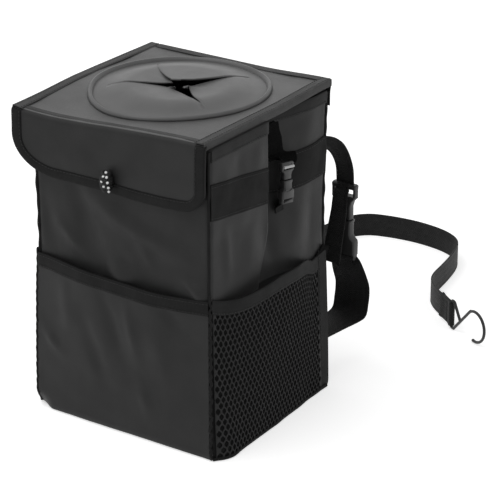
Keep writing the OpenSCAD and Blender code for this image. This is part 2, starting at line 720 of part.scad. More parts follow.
// The free end of the back webbing, which hangs from the plug on the wall's side
module back_strap_tail() color(web_c) {
    at_bar = buckle_y - bar_d / 2 - bar_gap - web_t - gap;
    at_plug = buckle_y - buckle_t / 2 - gap - web_t / 2;
    low = plug_bar_z - tail_l;
    side_web([
        [at_bar, plug_bar_z + bar_d / 2], [at_bar, plug_bar_z - bar_d], [at_plug, plug_bar_z - buckle_lug + 2],
        [at_plug - tail_lean * 0.1, plug_bar_z - tail_l * 0.3],
        [at_plug - tail_lean * 0.35, plug_bar_z - tail_l * 0.5],
        [at_plug - tail_lean * 0.7, plug_bar_z - tail_l * 0.75], [at_plug - tail_lean, low]],
        [for (i = [0:6]) web_w], web_t);
}

// The long strap lies on its edge on the ground. Its route in plan, from where
// it is sewn along the foot of the back wall to its doubled end.
strap_route = [
    [-20, 0], [-34, 0], [-46, 1], [-57, 5], [-66, 12], [-74, 24], [-81, 42], [-87, 66],
    [-92, 96], [-95, 130], [-96, 164], [-95, 198], [-93, 228], [-90, 256], [-87, 280],
    [-83, 302], [-78, 316], [-71, 326], [-62, 333], [-50, 337], [-36, 340], [-16, 342], [4, 341],
    [24, 337], [41, 329], [52, 318], [59, 303], [64, 285], [68, 266], [71, 248], [74, 233],
    [80, 218], [90, 205], [101, 194.5], [112, 186.5],
];
// How high the lower edge of the strap lies over the last stretch
strap_lift = [for (i = [0:len(strap_route) - 1])
    3.4 * ramp((i - (len(strap_route) - 6)) / 5)];
strap_y0 = half_d + 0.1 + web_t / 2;
strap_last = len(strap_route) - 1;
strap_dir = let (d = strap_route[strap_last] - strap_route[strap_last - 1]) d / norm(d);
strap_tip = [strap_route[strap_last].x, strap_y0 + strap_route[strap_last].y, strap_lift[strap_last]];
end_angle = atan2(strap_dir.y, strap_dir.x);

module hook_strap() color(web_c)
    loft([for (i = [0:strap_last]) let (
        a = strap_route[max(i - 1, 0)], b = strap_route[min(i + 1, strap_last)],
        d = (b - a) / norm(b - a), n = [-d.y, d.x] * web_t / 2,
        p = strap_route[i] + [0, strap_y0], low = strap_lift[i], high = low + long_web_w)
        [[p.x + n.x, p.y + n.y, low], [p.x - n.x, p.y - n.y, low],
         [p.x - n.x, p.y - n.y, high], [p.x + n.x, p.y + n.y, high]]]);

wire_r = wire_d / 2;
eye_r = wire_r + bar_gap;

// Puts a piece at the tip of the long strap, with x along its last stretch
module at_tip() translate(strap_tip) rotate([0, 0, end_angle]) children();

module hook_strap_end() color(web_c) at_tip() {
    difference() {
        union() {
            translate([0.05, -end_t / 2, 0]) cube([end_l, end_t, long_web_w]);
            translate([end_l + eye_r, 0, 0]) cylinder(h = long_web_w, r = eye_r + web_t / 2, $fn = 32);
        }
        translate([end_l + eye_r, 0, -1]) cylinder(h = long_web_w + 2, r = eye_r, $fn = 32);
    }
}

// Round rod between two points
module rod(a, b) {
    d = b - a;
    translate(a) rotate([0, acos(d.z / norm(d)), atan2(d.y, d.x)])
        cylinder(h = norm(d), d = wire_d, $fn = 20);
}

hook_turn = 11;
hook_z = hook_r + wire_r + 0.2;
hook_tip_angle = 235;

module wire_hook() color(steel_c) at_tip() translate([end_l + eye_r, 0, -strap_tip.z])
    rotate([0, 0, hook_turn]) {
        low = [0, 0, strap_tip.z - gap - wire_r];
        high = [0, 0, strap_tip.z + long_web_w + gap + wire_r];
        crown = [hook_reach - hook_r * sin(40), 0, hook_z + hook_r * cos(40)];
        low_elbow = low + [eye_r + web_t / 2 + wire_d * 0.7, 0, 0];
        high_elbow = high + [eye_r + web_t / 2 + wire_d * 0.7, 0, 0];
        knee = low_elbow + (crown - low_elbow) * 0.42;
        rod(low, high);
        rod(low, low_elbow);
        rod(low_elbow, crown);
        rod(high, high_elbow);
        rod(high_elbow, knee);
        for (p = [low, high, low_elbow, high_elbow, crown, knee])
            translate(p) sphere(d = wire_d + 0.1, $fn = 20);
        translate([hook_reach, 0, hook_z]) rotate([90, 0, 0]) rotate([0, 0, 130 - hook_tip_angle])
            rotate_extrude(angle = hook_tip_angle, $fn = 64) translate([hook_r, 0])
                circle(d = wire_d, $fn = 20);
        translate([hook_reach + hook_r * cos(130 - hook_tip_angle), 0,
            hook_z + hook_r * sin(130 - hook_tip_angle)]) sphere(d = wire_d + 0.3, $fn = 20);
    }

base_panel();
front_panel();
back_panel();
right_panel();
left_panel();
waterproof_liner();
rim_hem();
piping(1, -1);  // piping_front_right
piping(-1, -1);  // piping_front_left
piping(1, 1);  // piping_back_right
piping(-1, 1);  // piping_back_left
front_pocket();
front_pocket_binding();
right_mesh_pocket();
right_mesh_binding();
right_mesh_strip();
left_mesh_pocket();
left_mesh_binding();
left_mesh_strip();
right_band();
left_band();
closure_loop_patch();
lid_hinge_strip();
right_clip_socket();
right_clip_plug();
right_clip_upper_tab();
right_clip_lower_tab();
left_clip_socket();
left_clip_plug();
left_clip_upper_tab();
left_clip_lower_tab();
back_loop_strap();
back_upper_web();
back_strap_tail();
back_buckle_socket();
back_buckle_plug();
hook_strap();
hook_strap_end();
wire_hook();
lid_lining();
lid_board();
lid_cover();
lid_binding_left();
lid_binding_right();
lid_flap();
lid_flap_binding();
closure_hook_patch();
rubber_aperture();
pull_knot();
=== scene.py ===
"""Looks of the foldable car bin: cloth, net, webbing, clips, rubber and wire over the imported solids.
Lengths are millimetres in the CAD frame until a mesh is made: x to the right, y to the back, z up.
Materials use metres."""
import math

import bmesh
import bpy
import numpy as np
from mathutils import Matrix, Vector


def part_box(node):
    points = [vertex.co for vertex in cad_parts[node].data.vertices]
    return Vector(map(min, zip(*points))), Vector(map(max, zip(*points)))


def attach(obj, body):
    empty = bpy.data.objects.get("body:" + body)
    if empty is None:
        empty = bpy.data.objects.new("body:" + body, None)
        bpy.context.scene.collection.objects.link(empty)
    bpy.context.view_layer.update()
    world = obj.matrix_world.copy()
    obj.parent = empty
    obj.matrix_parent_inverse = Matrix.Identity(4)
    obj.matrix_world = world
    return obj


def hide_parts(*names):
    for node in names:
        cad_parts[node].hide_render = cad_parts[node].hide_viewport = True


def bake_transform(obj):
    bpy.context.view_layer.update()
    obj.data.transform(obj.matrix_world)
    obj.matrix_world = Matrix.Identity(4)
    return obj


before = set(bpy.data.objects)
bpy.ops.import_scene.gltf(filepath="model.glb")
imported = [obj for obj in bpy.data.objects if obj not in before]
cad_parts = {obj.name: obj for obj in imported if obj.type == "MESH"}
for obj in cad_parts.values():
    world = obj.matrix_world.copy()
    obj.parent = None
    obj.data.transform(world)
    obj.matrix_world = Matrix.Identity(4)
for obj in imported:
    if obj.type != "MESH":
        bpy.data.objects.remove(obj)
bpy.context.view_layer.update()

MM = 0.001
UP = np.array([0, 0, 1.0])
SIDES = ((1, "right"), (-1, "left"))


def corners(node):
    """Lowest and highest corner of a CAD node, in millimetres"""
    low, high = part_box(node)
    return np.array(low) / MM, np.array(high) / MM


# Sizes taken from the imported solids
HALF_W, PANEL_TOP = corners("right_panel")[1][[0, 2]]
HALF_D = -corners("front_panel")[0][1]
BODY_TOP = corners("rim_hem")[1][2]
HEM_H = BODY_TOP - corners("rim_hem")[0][2]
LID_LEFT = corners("lid_binding_left")[0][0]
LID_RIGHT = corners("lid_binding_right")[1][0]
LID_Y0, LID_Y1 = corners("lid_cover")[0][1], corners("lid_cover")[1][1]
LINING_Z, BOARD_Z = corners("lid_lining")[0][2], corners("lid_board")[0][2]
COVER_Z, LID_TOP = corners("lid_cover")[0][2], corners("lid_cover")[1][2]
FLAP_T = LID_Y0 - corners("lid_flap")[0][1]
FLAP_LOW = corners("lid_flap_binding")[0][2]
DISC_R = (corners("rubber_aperture")[1][0] - corners("rubber_aperture")[0][0]) / 2
DISC_X, DISC_Y = ((corners("rubber_aperture")[0] + corners("rubber_aperture")[1]) / 2)[:2]

# Sizes of the soft box
WALL_T, FOOT_R, CORNER_IN = 2.4, 8.0, 1.9
PLEAT_DEPTH, PLEAT_Y, PLEAT_LIP, PLEAT_DRIFT = 17.0, -7.0, 8.0, 17.0
PLEAT_LOW, PLEAT_HIGH = 74.0, 215.0
PIPING_D, TAPE_W, TAPE_T, FOLD_T = 3.0, 10.0, 1.0, 0.9
SEAM_CURL, SEAM_CURL_W = 1.3, 1.6
FRONT_MOUTH, FRONT_BULGE, FRONT_TAPE_W = 155.0, 9.0, 14.0
MESH_MOUTH, MESH_BULGE, MESH_TAPE_W, MESH_STRIP_W = 146.0, 11.0, 14.0, 13.0
CLOTH_T, POCKET_GAP, BAND_T, LINER_T, NET_SHADE_T = 0.9, 0.3, 0.8, 0.6, 0.4
POCKET_FOOT, NET_FOOT, STRIP_FOOT = 1.2, 1.6, 1.4
# Sizes of the lid
FLAP_R_LEFT, FLAP_R_RIGHT = 44.0, 20.0
DISC_HOLE_R, BEAD_W, BEAD_H, RUBBER_T, DOME_H = 75.0, 5.0, 2.6, 1.8, 6.0
# Sizes of the webbing and the wire
WEB_W, WEB_T, LONG_WEB_W = 20.0, 1.6, 25.0
BAR_D, BAR_GAP = 3.0, 0.1
WIRE_D, HOOK_R, HOOK_REACH, END_L = 3.0, 15.5, 40.0, 20.0


# Arithmetic on points

def join(*parts):
    """Points from their coordinates, each an array or one number"""
    return np.stack(np.broadcast_arrays(*parts), -1)


def smooth(t):
    """0 up to 0 and 1 from 1 on, with soft ends"""
    t = np.clip(t, 0, 1)
    return t * t * (3 - 2 * t)


def ramp(v, start, run):
    """0 up to start and 1 from start + run on, with soft ends"""
    return smooth((v - start) / run)


def unit(v):
    """Directions of length 1"""
    return v / np.maximum(np.linalg.norm(v, axis=-1, keepdims=True), 1e-9)


def lengths(path):
    """Distance along a path at each of its points"""
    return np.r_[0, np.cumsum(np.linalg.norm(np.diff(path, axis=0), axis=1))]


def through(x, rows):
    """Smooth curve through rows of position and value, at the positions x"""
    xs, ys = np.array(rows, float).T
    x = np.clip(x, xs[0], xs[-1])
    slope = np.gradient(ys, xs)
    i = np.clip(np.searchsorted(xs, x) - 1, 0, len(xs) - 2)
    h = xs[i + 1] - xs[i]
    t = np.clip((x - xs[i]) / h, 0, 1)
    rise = ys[i] + (ys[i + 1] - ys[i]) * t * t * (3 - 2 * t)
    return rise + h * t * (1 - t) * (slope[i] * (1 - t) - slope[i + 1] * t)


def resample(points, count, rounds=3):
    """Points at equal steps along the smooth curve through the given ones"""
    p = np.array(points, float)
    for _ in range(rounds):
        wide = np.vstack([2 * p[0] - p[1], p, 2 * p[-1] - p[-2]])
        middle = (9 * wide[1:-2] + 9 * wide[2:-1] - wide[:-3] - wide[3:]) / 16
        finer = np.empty((2 * len(p) - 1, p.shape[1]))
        finer[0::2], finer[1::2] = p, middle
        p = finer
    s = lengths(p)
    at = np.linspace(0, s[-1], count)
    return np.column_stack([np.interp(at, s, column) for column in p.T])


def rounded(points, radius, steps=5):
    """A path with its corners rounded"""
    p = np.array(points, float)
    out = [p[0]]
    for a, b, c in zip(p[:-2], p[1:-1], p[2:]):
        cut = min(radius, 0.45 * np.linalg.norm(b - a), 0.45 * np.linalg.norm(c - b))
        start, end = b + unit(a - b) * cut, b + unit(c - b) * cut
        for t in np.arange(steps + 1) / steps:
            out.append(start * (1 - t) ** 2 + 2 * b * t * (1 - t) + end * t * t)
    out.append(p[-1])
    return np.array(out)


def ripple(a, b, seed, length):
    """Soft irregular waves over a plane, about -1 to 1"""
    random = np.random.default_rng(seed)
    total, share = 0, 1.0
    for _ in range(3):
        for _ in range(3):
            turn, phase = random.uniform(0, 2 * np.pi, 2)
            along = a * np.cos(turn) + b * np.sin(turn)
            total = total + share * np.sin(2 * np.pi * along / length + phase)
        share, length = share * 0.55, length * 0.53
    return total / 3.5


def creases(a, b, rows):
    """Height of soft folds, each given by its two ends, its width and its height"""
    total = 0
    for a0, b0, a1, b1, width, height in rows:
        da, db = a1 - a0, b1 - b0
        length = math.hypot(da, db)
        along = ((a - a0) * da + (b - b0) * db) / length
        across = ((b - b0) * da - (a - a0) * db) / length
        past = along - np.clip(along, 0, length)
        swell = 0.35 + 0.65 * np.sin(np.pi * np.clip(along / length, 0, 1))
        total = total + height * swell * np.exp(-(across / width) ** 2 - (past / width / 1.4) ** 2)
    return total


# Mesh builders. A finish is a material and the name of its slot.

def new_object(name, data):
    obj = bpy.data.objects.new(name, data)
    bpy.context.scene.collection.objects.link(obj)
    return obj


def quads(rows, columns, round_rows=False, round_columns=False):
    """Faces over a grid of points numbered row by row"""
    faces = []
    for i in range(rows if round_rows else rows - 1):
        a, b = i * columns, (i + 1) % rows * columns
        for j in range(columns if round_columns else columns - 1):
            k = (j + 1) % columns
            faces.append((a + j, a + k, b + k, b + j))
    return faces


def tube_faces(count, sides, closed):
    """Faces of a solid over rings of points, joined to itself or with flat ends"""
    faces = quads(count, sides, closed, True)
    if not closed:
        faces += [tuple(range(sides))[::-1], tuple(range((count - 1) * sides, count * sides))]
    return faces


def values(items, name, kind, width=1):
    """One property of all items of a mesh as an array"""
    found = np.zeros(len(items) * width, kind)
    items.foreach_get(name, found)
    return found


def box_uv(mesh, corner):
    """UV in metres from the two axes that each face is flattest along"""
    normal = values(mesh.polygons, "normal", float, 3).reshape(-1, 3)
    axis = np.repeat(np.abs(normal).argmax(1), values(mesh.polygons, "loop_total", int))
    p = values(mesh.vertices, "co", float, 3).reshape(-1, 3)[corner]
    return join(np.where(axis == 0, p[:, 1], p[:, 0]), np.where(axis == 2, p[:, 1], p[:, 2]))


def edit(mesh, change):
    """Runs a change on the mesh's bmesh"""
    work = bmesh.new()
    work.from_mesh(mesh)
    change(work)
    work.to_mesh(mesh)
    work.free()


def piece(name, points, faces, finish, body, node=None, uv=None, angle=40, closed=True):
    """One mesh object that rides on a body and stands for a CAD node"""
    mesh = bpy.data.meshes.new(name)
    mesh.from_pydata((np.asarray(points, float).reshape(-1, 3) * MM).tolist(), [], faces)
    if closed:
        edit(mesh, lambda work: bmesh.ops.recalc_face_normals(work, faces=work.faces))
    mesh.polygons.foreach_set("use_smooth", [True] * len(mesh.polygons))
    mesh.set_sharp_from_angle(angle=math.radians(angle))
    corner = values(mesh.loops, "vertex_index", int)
    flat = box_uv(mesh, corner) if uv is None else np.asarray(uv, float).reshape(-1, 2)[corner] * MM
    mesh.uv_layers.new(name="UVMap").data.foreach_set("uv", flat.ravel())
    mesh.materials.append(finish[0])
    obj = new_object(name, mesh)
    if body:
        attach(obj, body)
    if node:
        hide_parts(node)
    return obj


def sweep(name, rings, finish, body, node=None, uv=None, closed=False):
    """Closed solid over rings of points"""
    rings = np.asarray(rings, float)
    return piece(name, rings, tube_faces(*rings.shape[:2], closed), finish, body, node, uv)


def sheet(name, outer, thick, finish, body, node=None, uv=None):
    """Cloth of some thickness under a grid of points, with soft edges"""
    rows, columns = outer.shape[:2]
    normal = unit(np.cross(np.gradient(outer, axis=1), np.gradient(outer, axis=0)))
    inner = outer - normal * thick
    border = [(0, j) for j in range(columns)]
    border += [(i, columns - 1) for i in range(1, rows)]
    border += [(rows - 1, j) for j in range(columns - 2, -1, -1)]
    border += [(i, 0) for i in range(rows - 2, 0, -1)]
    i, j = np.array(border).T
    near = outer[np.clip(i, 1, rows - 2), np.clip(j, 1, columns - 2)]
    middle = (outer[i, j] + inner[i, j]) / 2 + unit(outer[i, j] - near) * thick * 0.4
    size = rows * columns
    faces = quads(rows, columns)
    faces += [tuple(size + k for k in reversed(face)) for face in faces]
    number = [int(n) for n in i * columns + j]
    for k in range(len(border)):
        n = (k + 1) % len(border)
        a, b, c, d = number[k], number[n], 2 * size + k, 2 * size + n
        faces += [(b, a, c, d), (d, c, size + a, size + b)]
    points = np.vstack([outer.reshape(-1, 3), inner.reshape(-1, 3), middle])
    if uv is not None:
        uv = np.vstack([uv.reshape(-1, 2), uv.reshape(-1, 2), uv[i, j]])
    return piece(name, points, faces, finish, body, node, uv)


def side_sheet(side, name, x, y, z, thick, finish, node=None, uv=None):
    """Cloth on a side wall, with x as its distance out from the middle plane"""
    uv = None if uv is None else uv[:, ::side]
    sheet(name, settle(join(side * x, y, z))[:, ::side], thick, finish, "bin", node, uv)


GROOVE = 3.2  # how far a web's groove lies inside its edge


def ribbon(name, path, across, widths, thick, finish, body, node=None):
    """Flat woven web with a groove inside each edge"""
    tangent = unit(np.gradient(path, axis=0))
    across = np.broadcast_to(np.asarray(across, float), path.shape)
    side = unit(across - tangent * (across * tangent).sum(1, keepdims=True))
    normal = np.cross(tangent, side)
    half = np.broadcast_to(np.asarray(widths, float) / 2, len(path))[:, None]
    groove, e = min(GROOVE, half.min() * 0.4), thick / 2
    inset = [0, 0, 0.4, groove - 0.9, groove, groove + 0.9]
    x = np.hstack([half - d for d in inset] + [-half + d for d in inset[::-1]])
    x = np.hstack([x, x[:, ::-1]])
    top = [0.0, 0.5 * e, e, e, 0.72 * e, 0.94 * e]
    y = np.array(top + top[::-1])
    y = np.r_[y, -y]
    rings = path[:, None] + x[..., None] * side[:, None] + y[None, :, None] * normal[:, None]
    return sweep(name, rings, finish, body, node, join(x, lengths(path)[:, None]))


def pipe_rings(path, radius, sides=12):
    """Rings of a round tube along a path"""
    tangent = unit(np.gradient(path, axis=0))
    normal = UP if abs(tangent[0][2]) < 0.8 else np.array([1.0, 0, 0])
    normals = []
    for t in tangent:
        normal = unit(normal - t * (normal @ t))
        normals.append(normal)
    normals = np.array(normals)
    other = np.cross(tangent, normals)
    turn = np.linspace(0, 2 * np.pi, sides, endpoint=False)[:, None]
    r = np.broadcast_to(np.asarray(radius, float), len(path))[:, None, None]
    return path[:, None] + r * (np.cos(turn) * normals[:, None] + np.sin(turn) * other[:, None])


def edge_tape(at, out, bound, width, back, thick=FOLD_T):
    """Rings and UV of a tape folded over a cloth edge. at(d) gives the cloth's face at distance d
    inside the edge, and out the way that it faces."""
    t, low = thick, -bound
    section = [
        (width, 0.05), (width, 0.7 * t), (width - 0.7, t), (width * 0.5, 1.08 * t), (1.6, 1.05 * t),
        (0.2, 0.95 * t), (-0.6 * t, 0.4 * t), (-0.8 * t, low / 2), (-0.6 * t, low - 0.4 * t),
        (0.2, low - 0.95 * t), (back - 0.7, low - t), (back, low - 0.7 * t), (back, low - 0.05),
        (0.3, low), (0.3, 0.0)]
    rings = np.stack([at(d) + out * h for d, h in section], 1)
    s = np.array([0, 0.7, 1.6, width * 0.5, width - 1.6, width, width + 1, width + 2, width + 3,
                  width + 4, width + back, width + back, width + back, width, width])
    return rings, join(s, lengths(at(0.0))[:, None])


class Joined:
    """Gathers small closed solids into one mesh"""

    def __init__(self):
        self.points, self.faces, self.count = [], [], 0

    def add(self, rings):
        rings = np.asarray(rings, float)
        count, sides = rings.shape[:2]
        self.faces += [tuple(v + self.count for v in face) for face in tube_faces(count, sides, False)]
        self.points.append(rings.reshape(-1, 3))
        self.count += count * sides

    def make(self, name, finish, body, node=None, angle=40):
        return piece(name, np.vstack(self.points), self.faces, finish, body, node, angle=angle)


# Materials

def fill(tree, node, inputs):
    """Sets a shader node's inputs to values, or links other nodes' outputs to them"""
    for key, value in inputs.items():
        if isinstance(value, bpy.types.NodeSocket):
            tree.links.new(value, node.inputs[key])
        else:
            node.inputs[key].default_value = value


def add_node(tree, kind, inputs, operation=None):
    node = tree.nodes.new("ShaderNode" + kind)
    if operation:
        node.operation = operation
    fill(tree, node, inputs)
    return node


class Shader:
    """One material, with short calls for its nodes"""

    def __init__(self, name, roughness, specular):
        self.material = bpy.data.materials.new(name)
        self.material.use_nodes = True
        self.tree = self.material.node_tree
        self.level = roughness
        self.main({"Roughness": roughness, "Specular IOR Level": specular})
        self.place = add_node(self.tree, "TexCoord", {}).outputs

    def main(self, inputs):
        fill(self.tree, self.tree.nodes["Principled BSDF"], inputs)

    def math(self, operation, a, b=0.0):
        return add_node(self.tree, "Math", {0: a, 1: b}, operation).outputs[0]

    def mixed(self, a, share, b):
        """Share of a, and all of b"""
        return self.math("ADD", self.math("MULTIPLY", a, share), b)

    def noise(self, per_metre, detail):
        inputs = {"Scale": per_metre, "Detail": detail, "Vector": self.place["Object"]}
        return add_node(self.tree, "TexNoise", inputs).outputs["Fac"]

    def uv(self):
        node = add_node(self.tree, "SeparateXYZ", {0: self.place["UV"]})
        return node.outputs[0], node.outputs[1]

    def wave(self, place, pitch):
        return self.math("SINE", self.math("MULTIPLY", place, 2 * math.pi / pitch))

    def colour(self, factor, dark, light):
        """Grey between two levels"""
        ramp = add_node(self.tree, "ValToRGB", {0: factor})
        for stop, place, level in zip(ramp.color_ramp.elements, (0.3, 0.7), (dark, light)):
            stop.position = place
            stop.color = (level, level, level, 1)
        self.main({"Base Color": ramp.outputs[0]})

    def wear(self, factor, below, above):
        """Roughness that varies round its level"""
        inputs = {"To Min": self.level - below, "To Max": self.level + above, "Value": factor}
        self.main({"Roughness": add_node(self.tree, "MapRange", inputs).outputs[0]})

    def bump(self, height, distance):
        inputs = {"Distance": distance, "Strength": 1.0, "Height": height}
        self.main({"Normal": add_node(self.tree, "Bump", inputs).outputs[0]})


def cloth_material(name, tone, roughness, specular, pitch=0.0011):
    """Coated plain weave with slight wear in tone and gloss"""
    s = Shader(name, roughness, specular)
    u, v = s.uv()
    weave = s.math("MULTIPLY", s.wave(u, pitch), s.wave(v, pitch))
    s.colour(s.noise(35, 4), tone * 0.86, tone * 1.14)
    s.wear(s.noise(60, 3), 0.06, 0.08)
    s.bump(s.mixed(weave, 0.5, s.noise(900, 2)), 0.00007)
    return s.material


def tape_material(name, tone, roughness, specular, pitch=0.0013):
    """Ribbed binding tape"""
    s = Shader(name, roughness, specular)
    rib = s.wave(s.uv()[1], pitch)
    s.colour(s.mixed(rib, 0.12, s.noise(90, 3)), tone * 0.8, tone * 1.25)
    s.wear(s.noise(80, 2), 0.05, 0.06)
    s.bump(s.mixed(rib, 0.6, s.noise(1500, 2)), 0.00012)
    return s.material


def web_material(name, tone, roughness=0.55, specular=0.28, pitch=0.0024):
    """Herringbone webbing"""
    s = Shader(name, roughness, specular)
    u, v = s.uv()
    twill = s.wave(s.mixed(s.math("PINGPONG", u, 0.003), 0.9, v), pitch)
    s.colour(s.mixed(twill, 0.16, s.noise(120, 3)), tone * 0.72, tone * 1.3)
    s.wear(s.noise(150, 2), 0.05, 0.07)
    s.bump(s.mixed(s.wave(u, 0.0011), 0.4, twill), 0.00018)
    return s.material


def moulded_material(name, tone, roughness, specular, grain=0.00004, scale=1400):
    """Moulded plastic, rubber, film or coated metal with a fine grain"""
    s = Shader(name, roughness, specular)
    s.colour(s.noise(45, 3), tone * 0.92, tone * 1.08)
    s.wear(s.noise(110, 3), 0.05, 0.07)
    s.bump(s.noise(scale, 2), grain)
    return s.material


def net_material(name, tone, roughness, specular, pitch=0.0009):
    """Knitted thread of the net"""
    s = Shader(name, roughness, specular)
    s.colour(s.noise(300, 3), tone * 0.8, tone * 1.2)
    s.bump(s.math("ADD", s.wave(s.math("ADD", *s.uv()), pitch), s.noise(1800, 2)), 0.00008)
    return s.material


CLOTH = cloth_material("coated_cloth", 0.02, 0.46, 0.17), "coated_fabric"
# Painted light: a lighter copy of the coated cloth for the lid's top, where the overhead light's sheen
# falls
LIT_TOP_CLOTH = cloth_material("lit_top_cloth", 0.07, 0.42, 0.34), "coated_fabric"
TAPE = tape_material("binding_tape", 0.007, 0.6, 0.12), "binding_tape"
# Painted light: a lighter copy of the binding tape for the lid's edges, lit from above
LIT_TOP_TAPE = tape_material("lit_top_tape", 0.025, 0.5, 0.26), "binding_tape"
STRIP = TAPE[0], "coated_fabric"
BAND = tape_material("side_band", 0.0095, 0.6, 0.07), "coated_fabric"
NET = net_material("mesh_net", 0.025, 0.7, 0.2), "mesh_net"
# Painted shade: a dark matte sheet behind the nets stands for the shadow inside the mesh pockets
NET_SHADE = moulded_material("net_shadow", 0.016, 0.9, 0.06), "mesh_net"
WEB = web_material("webbing", 0.013, 0.55, 0.16), "webbing"
DARK_WEB = web_material("dark_webbing", 0.009, 0.62, 0.12), "webbing"
# Painted shade: a near-black web tone stands for the shade in the side pleats and in the pocket's mouth
SHADE_PAINTED_WEB = web_material("shade_painted_webbing", 0.0035, 0.8, 0.04), "webbing"
LOW_WEB = BAND[0], "webbing"
RIM = tape_material("rim_tape", 0.014, 0.55, 0.12), "binding_tape"
# Painted highlight: a light tone for the clips' top bars stands for the glint on them
HIGHLIGHT_BAR = moulded_material("painted_highlight_bar", 0.5, 0.3, 0.5), "clip_plastic"
FILM = moulded_material("liner_film", 0.09, 0.35, 0.4, 0.00008, 500), "liner_film"
BOARD = moulded_material("board", 0.05, 0.7, 0.3), "board"
PLASTIC = moulded_material("clip_plastic", 0.02, 0.36, 0.28), "clip_plastic"
RUBBER = moulded_material("soft_rubber", 0.075, 0.38, 0.4, 0.00005, 900), "soft_rubber"
FUZZ = tape_material("hook_loop_tape", 0.01, 0.85, 0.1, 0.002), "hook_loop_tape"
WIRE = moulded_material("coated_wire", 0.03, 0.3, 0.3, 0.00002, 700), "coated_wire"
CORD = web_material("cord_black", 0.008), "speckled_cord"
FLECK = moulded_material("cord_white", 0.8, 0.6, 0.3, 0.00005, 1500), "speckled_cord"
THREAD = tape_material("sewing_thread", 0.02, 0.5, 0.25, 0.0006), "binding_tape"


# Camera, light and floor

CAMERA_TURN, CAMERA_UP = math.radians(34.67), math.radians(22.88)
CAMERA_TARGET, CAMERA_AWAY = np.array([50.07, 34.63, 146.49]), 2236.7
PIXELS, FOCAL_PIXELS, SENSOR = 500, 2454.66, 36.0
LIGHT_PLACE, LIGHT_SIZE, LIGHT_POWER = np.array([-420.0, -520.0, 1650.0]), 1.3, 11.0
WORLD_LEVEL, FLOOR_TONE, FLOOR_GLOW, FLOOR_REACH = 0.55, 0.85, 0.56, 9.0
WHITE = (1, 1, 1, 1)


def white_to_camera(tree, plain, seen, out_socket):
    """Shows seen to the camera, glossy and transmission rays, and plain to the rest"""
    ray = add_node(tree, "LightPath", {}).outputs
    either = add_node(tree, "Math", {0: ray["Is Camera Ray"], 1: ray["Is Glossy Ray"]}, "MAXIMUM")
    last = add_node(tree, "Math", {0: either.outputs[0], 1: ray["Is Transmission Ray"]}, "MAXIMUM")
    mix = add_node(tree, "MixShader", {0: last.outputs[0], 1: plain.outputs[0], 2: seen.outputs[0]})
    tree.links.new(mix.outputs[0], out_socket)


def make_camera():
    data = bpy.data.cameras.new("camera")
    data.sensor_width = SENSOR
    data.lens = FOCAL_PIXELS * SENSOR / PIXELS
    data.clip_end = 50
    camera = new_object("camera", data)
    level = math.cos(CAMERA_UP)
    back = np.array([level * math.sin(CAMERA_TURN), -level * math.cos(CAMERA_TURN), math.sin(CAMERA_UP)])
    camera.location = (CAMERA_TARGET + back * CAMERA_AWAY) * MM
    camera.rotation_euler = (math.pi / 2 - CAMERA_UP, 0, CAMERA_TURN)
    bpy.context.scene.camera = camera


def make_light():
    data = bpy.data.lights.new("softbox", "AREA")
    data.size = LIGHT_SIZE
    data.energy = LIGHT_POWER
    lamp = new_object("softbox", data)
    lamp.location = LIGHT_PLACE * MM
    aim = np.array([0, 0, 150.0]) - LIGHT_PLACE
    lean, heading = math.acos(-aim[2] / np.linalg.norm(aim)), math.atan2(aim[1], aim[0])
    lamp.rotation_euler = (lean, 0, heading - math.pi / 2)
    world = bpy.data.worlds.new("studio")
    bpy.context.scene.world = world
    world.use_nodes = True
    tree = world.node_tree
    plain = tree.nodes["Background"]
    fill(tree, plain, {"Color": WHITE, "Strength": WORLD_LEVEL})
    white = add_node(tree, "Background", {"Color": WHITE, "Strength": 1.0})
    white_to_camera(tree, plain, white, tree.nodes["World Output"].inputs["Surface"])


def make_floor():
    mesh = bpy.data.meshes.new("floor")
    square = [(-1, -1), (1, -1), (1, 1), (-1, 1)]
    mesh.from_pydata([(FLOOR_REACH * x, FLOOR_REACH * y, 0) for x, y in square], [], [(0, 1, 2, 3)])
    floor = new_object("floor", mesh)
    material = bpy.data.materials.new("floor_white")
    material.use_nodes = True
    tree = material.node_tree
    plain = tree.nodes["Principled BSDF"]
    tone = (FLOOR_TONE, FLOOR_TONE, FLOOR_TONE, 1)
    fill(tree, plain, {"Base Color": tone, "Roughness": 0.9, "Specular IOR Level": 0.0})
    glow = add_node(tree, "Emission", {"Strength": FLOOR_GLOW})
    both = add_node(tree, "AddShader", {0: plain.outputs[0], 1: glow.outputs[0]})
    white_to_camera(tree, plain, both, tree.nodes["Material Output"].inputs["Surface"])
    mesh.materials.append(material)


make_camera()
make_light()
make_floor()
bpy.context.scene.view_settings.view_transform = "Standard"

STITCHES = {"bin": Joined(), "lid": Joined()}


def stitch(body, path, out, pitch=3.4, length=2.3, radius=0.28):
    """A row of sewing along a path, on the side that out points to"""
    s = lengths(path)
    out = np.broadcast_to(np.asarray(out, float), path.shape)
    for at in np.arange(pitch / 2, s[-1], pitch):
        span = np.array([-0.5, -0.36, 0, 0.36, 0.5]) * length + at
        line = join(*[np.interp(span, s, column) for column in path.T])
        lift = join(*[np.interp(span, s, column) for column in out.T])
        line += lift * radius * np.array([-0.9, 0.3, 0.5, 0.3, -0.9])[:, None]
        STITCHES[body].add(pipe_rings(line, radius * np.array([0.5, 0.9, 1, 0.9, 0.5]), 6))


# Long strap with the wire hook. It lies on its edge, and its route repeats the solid's.

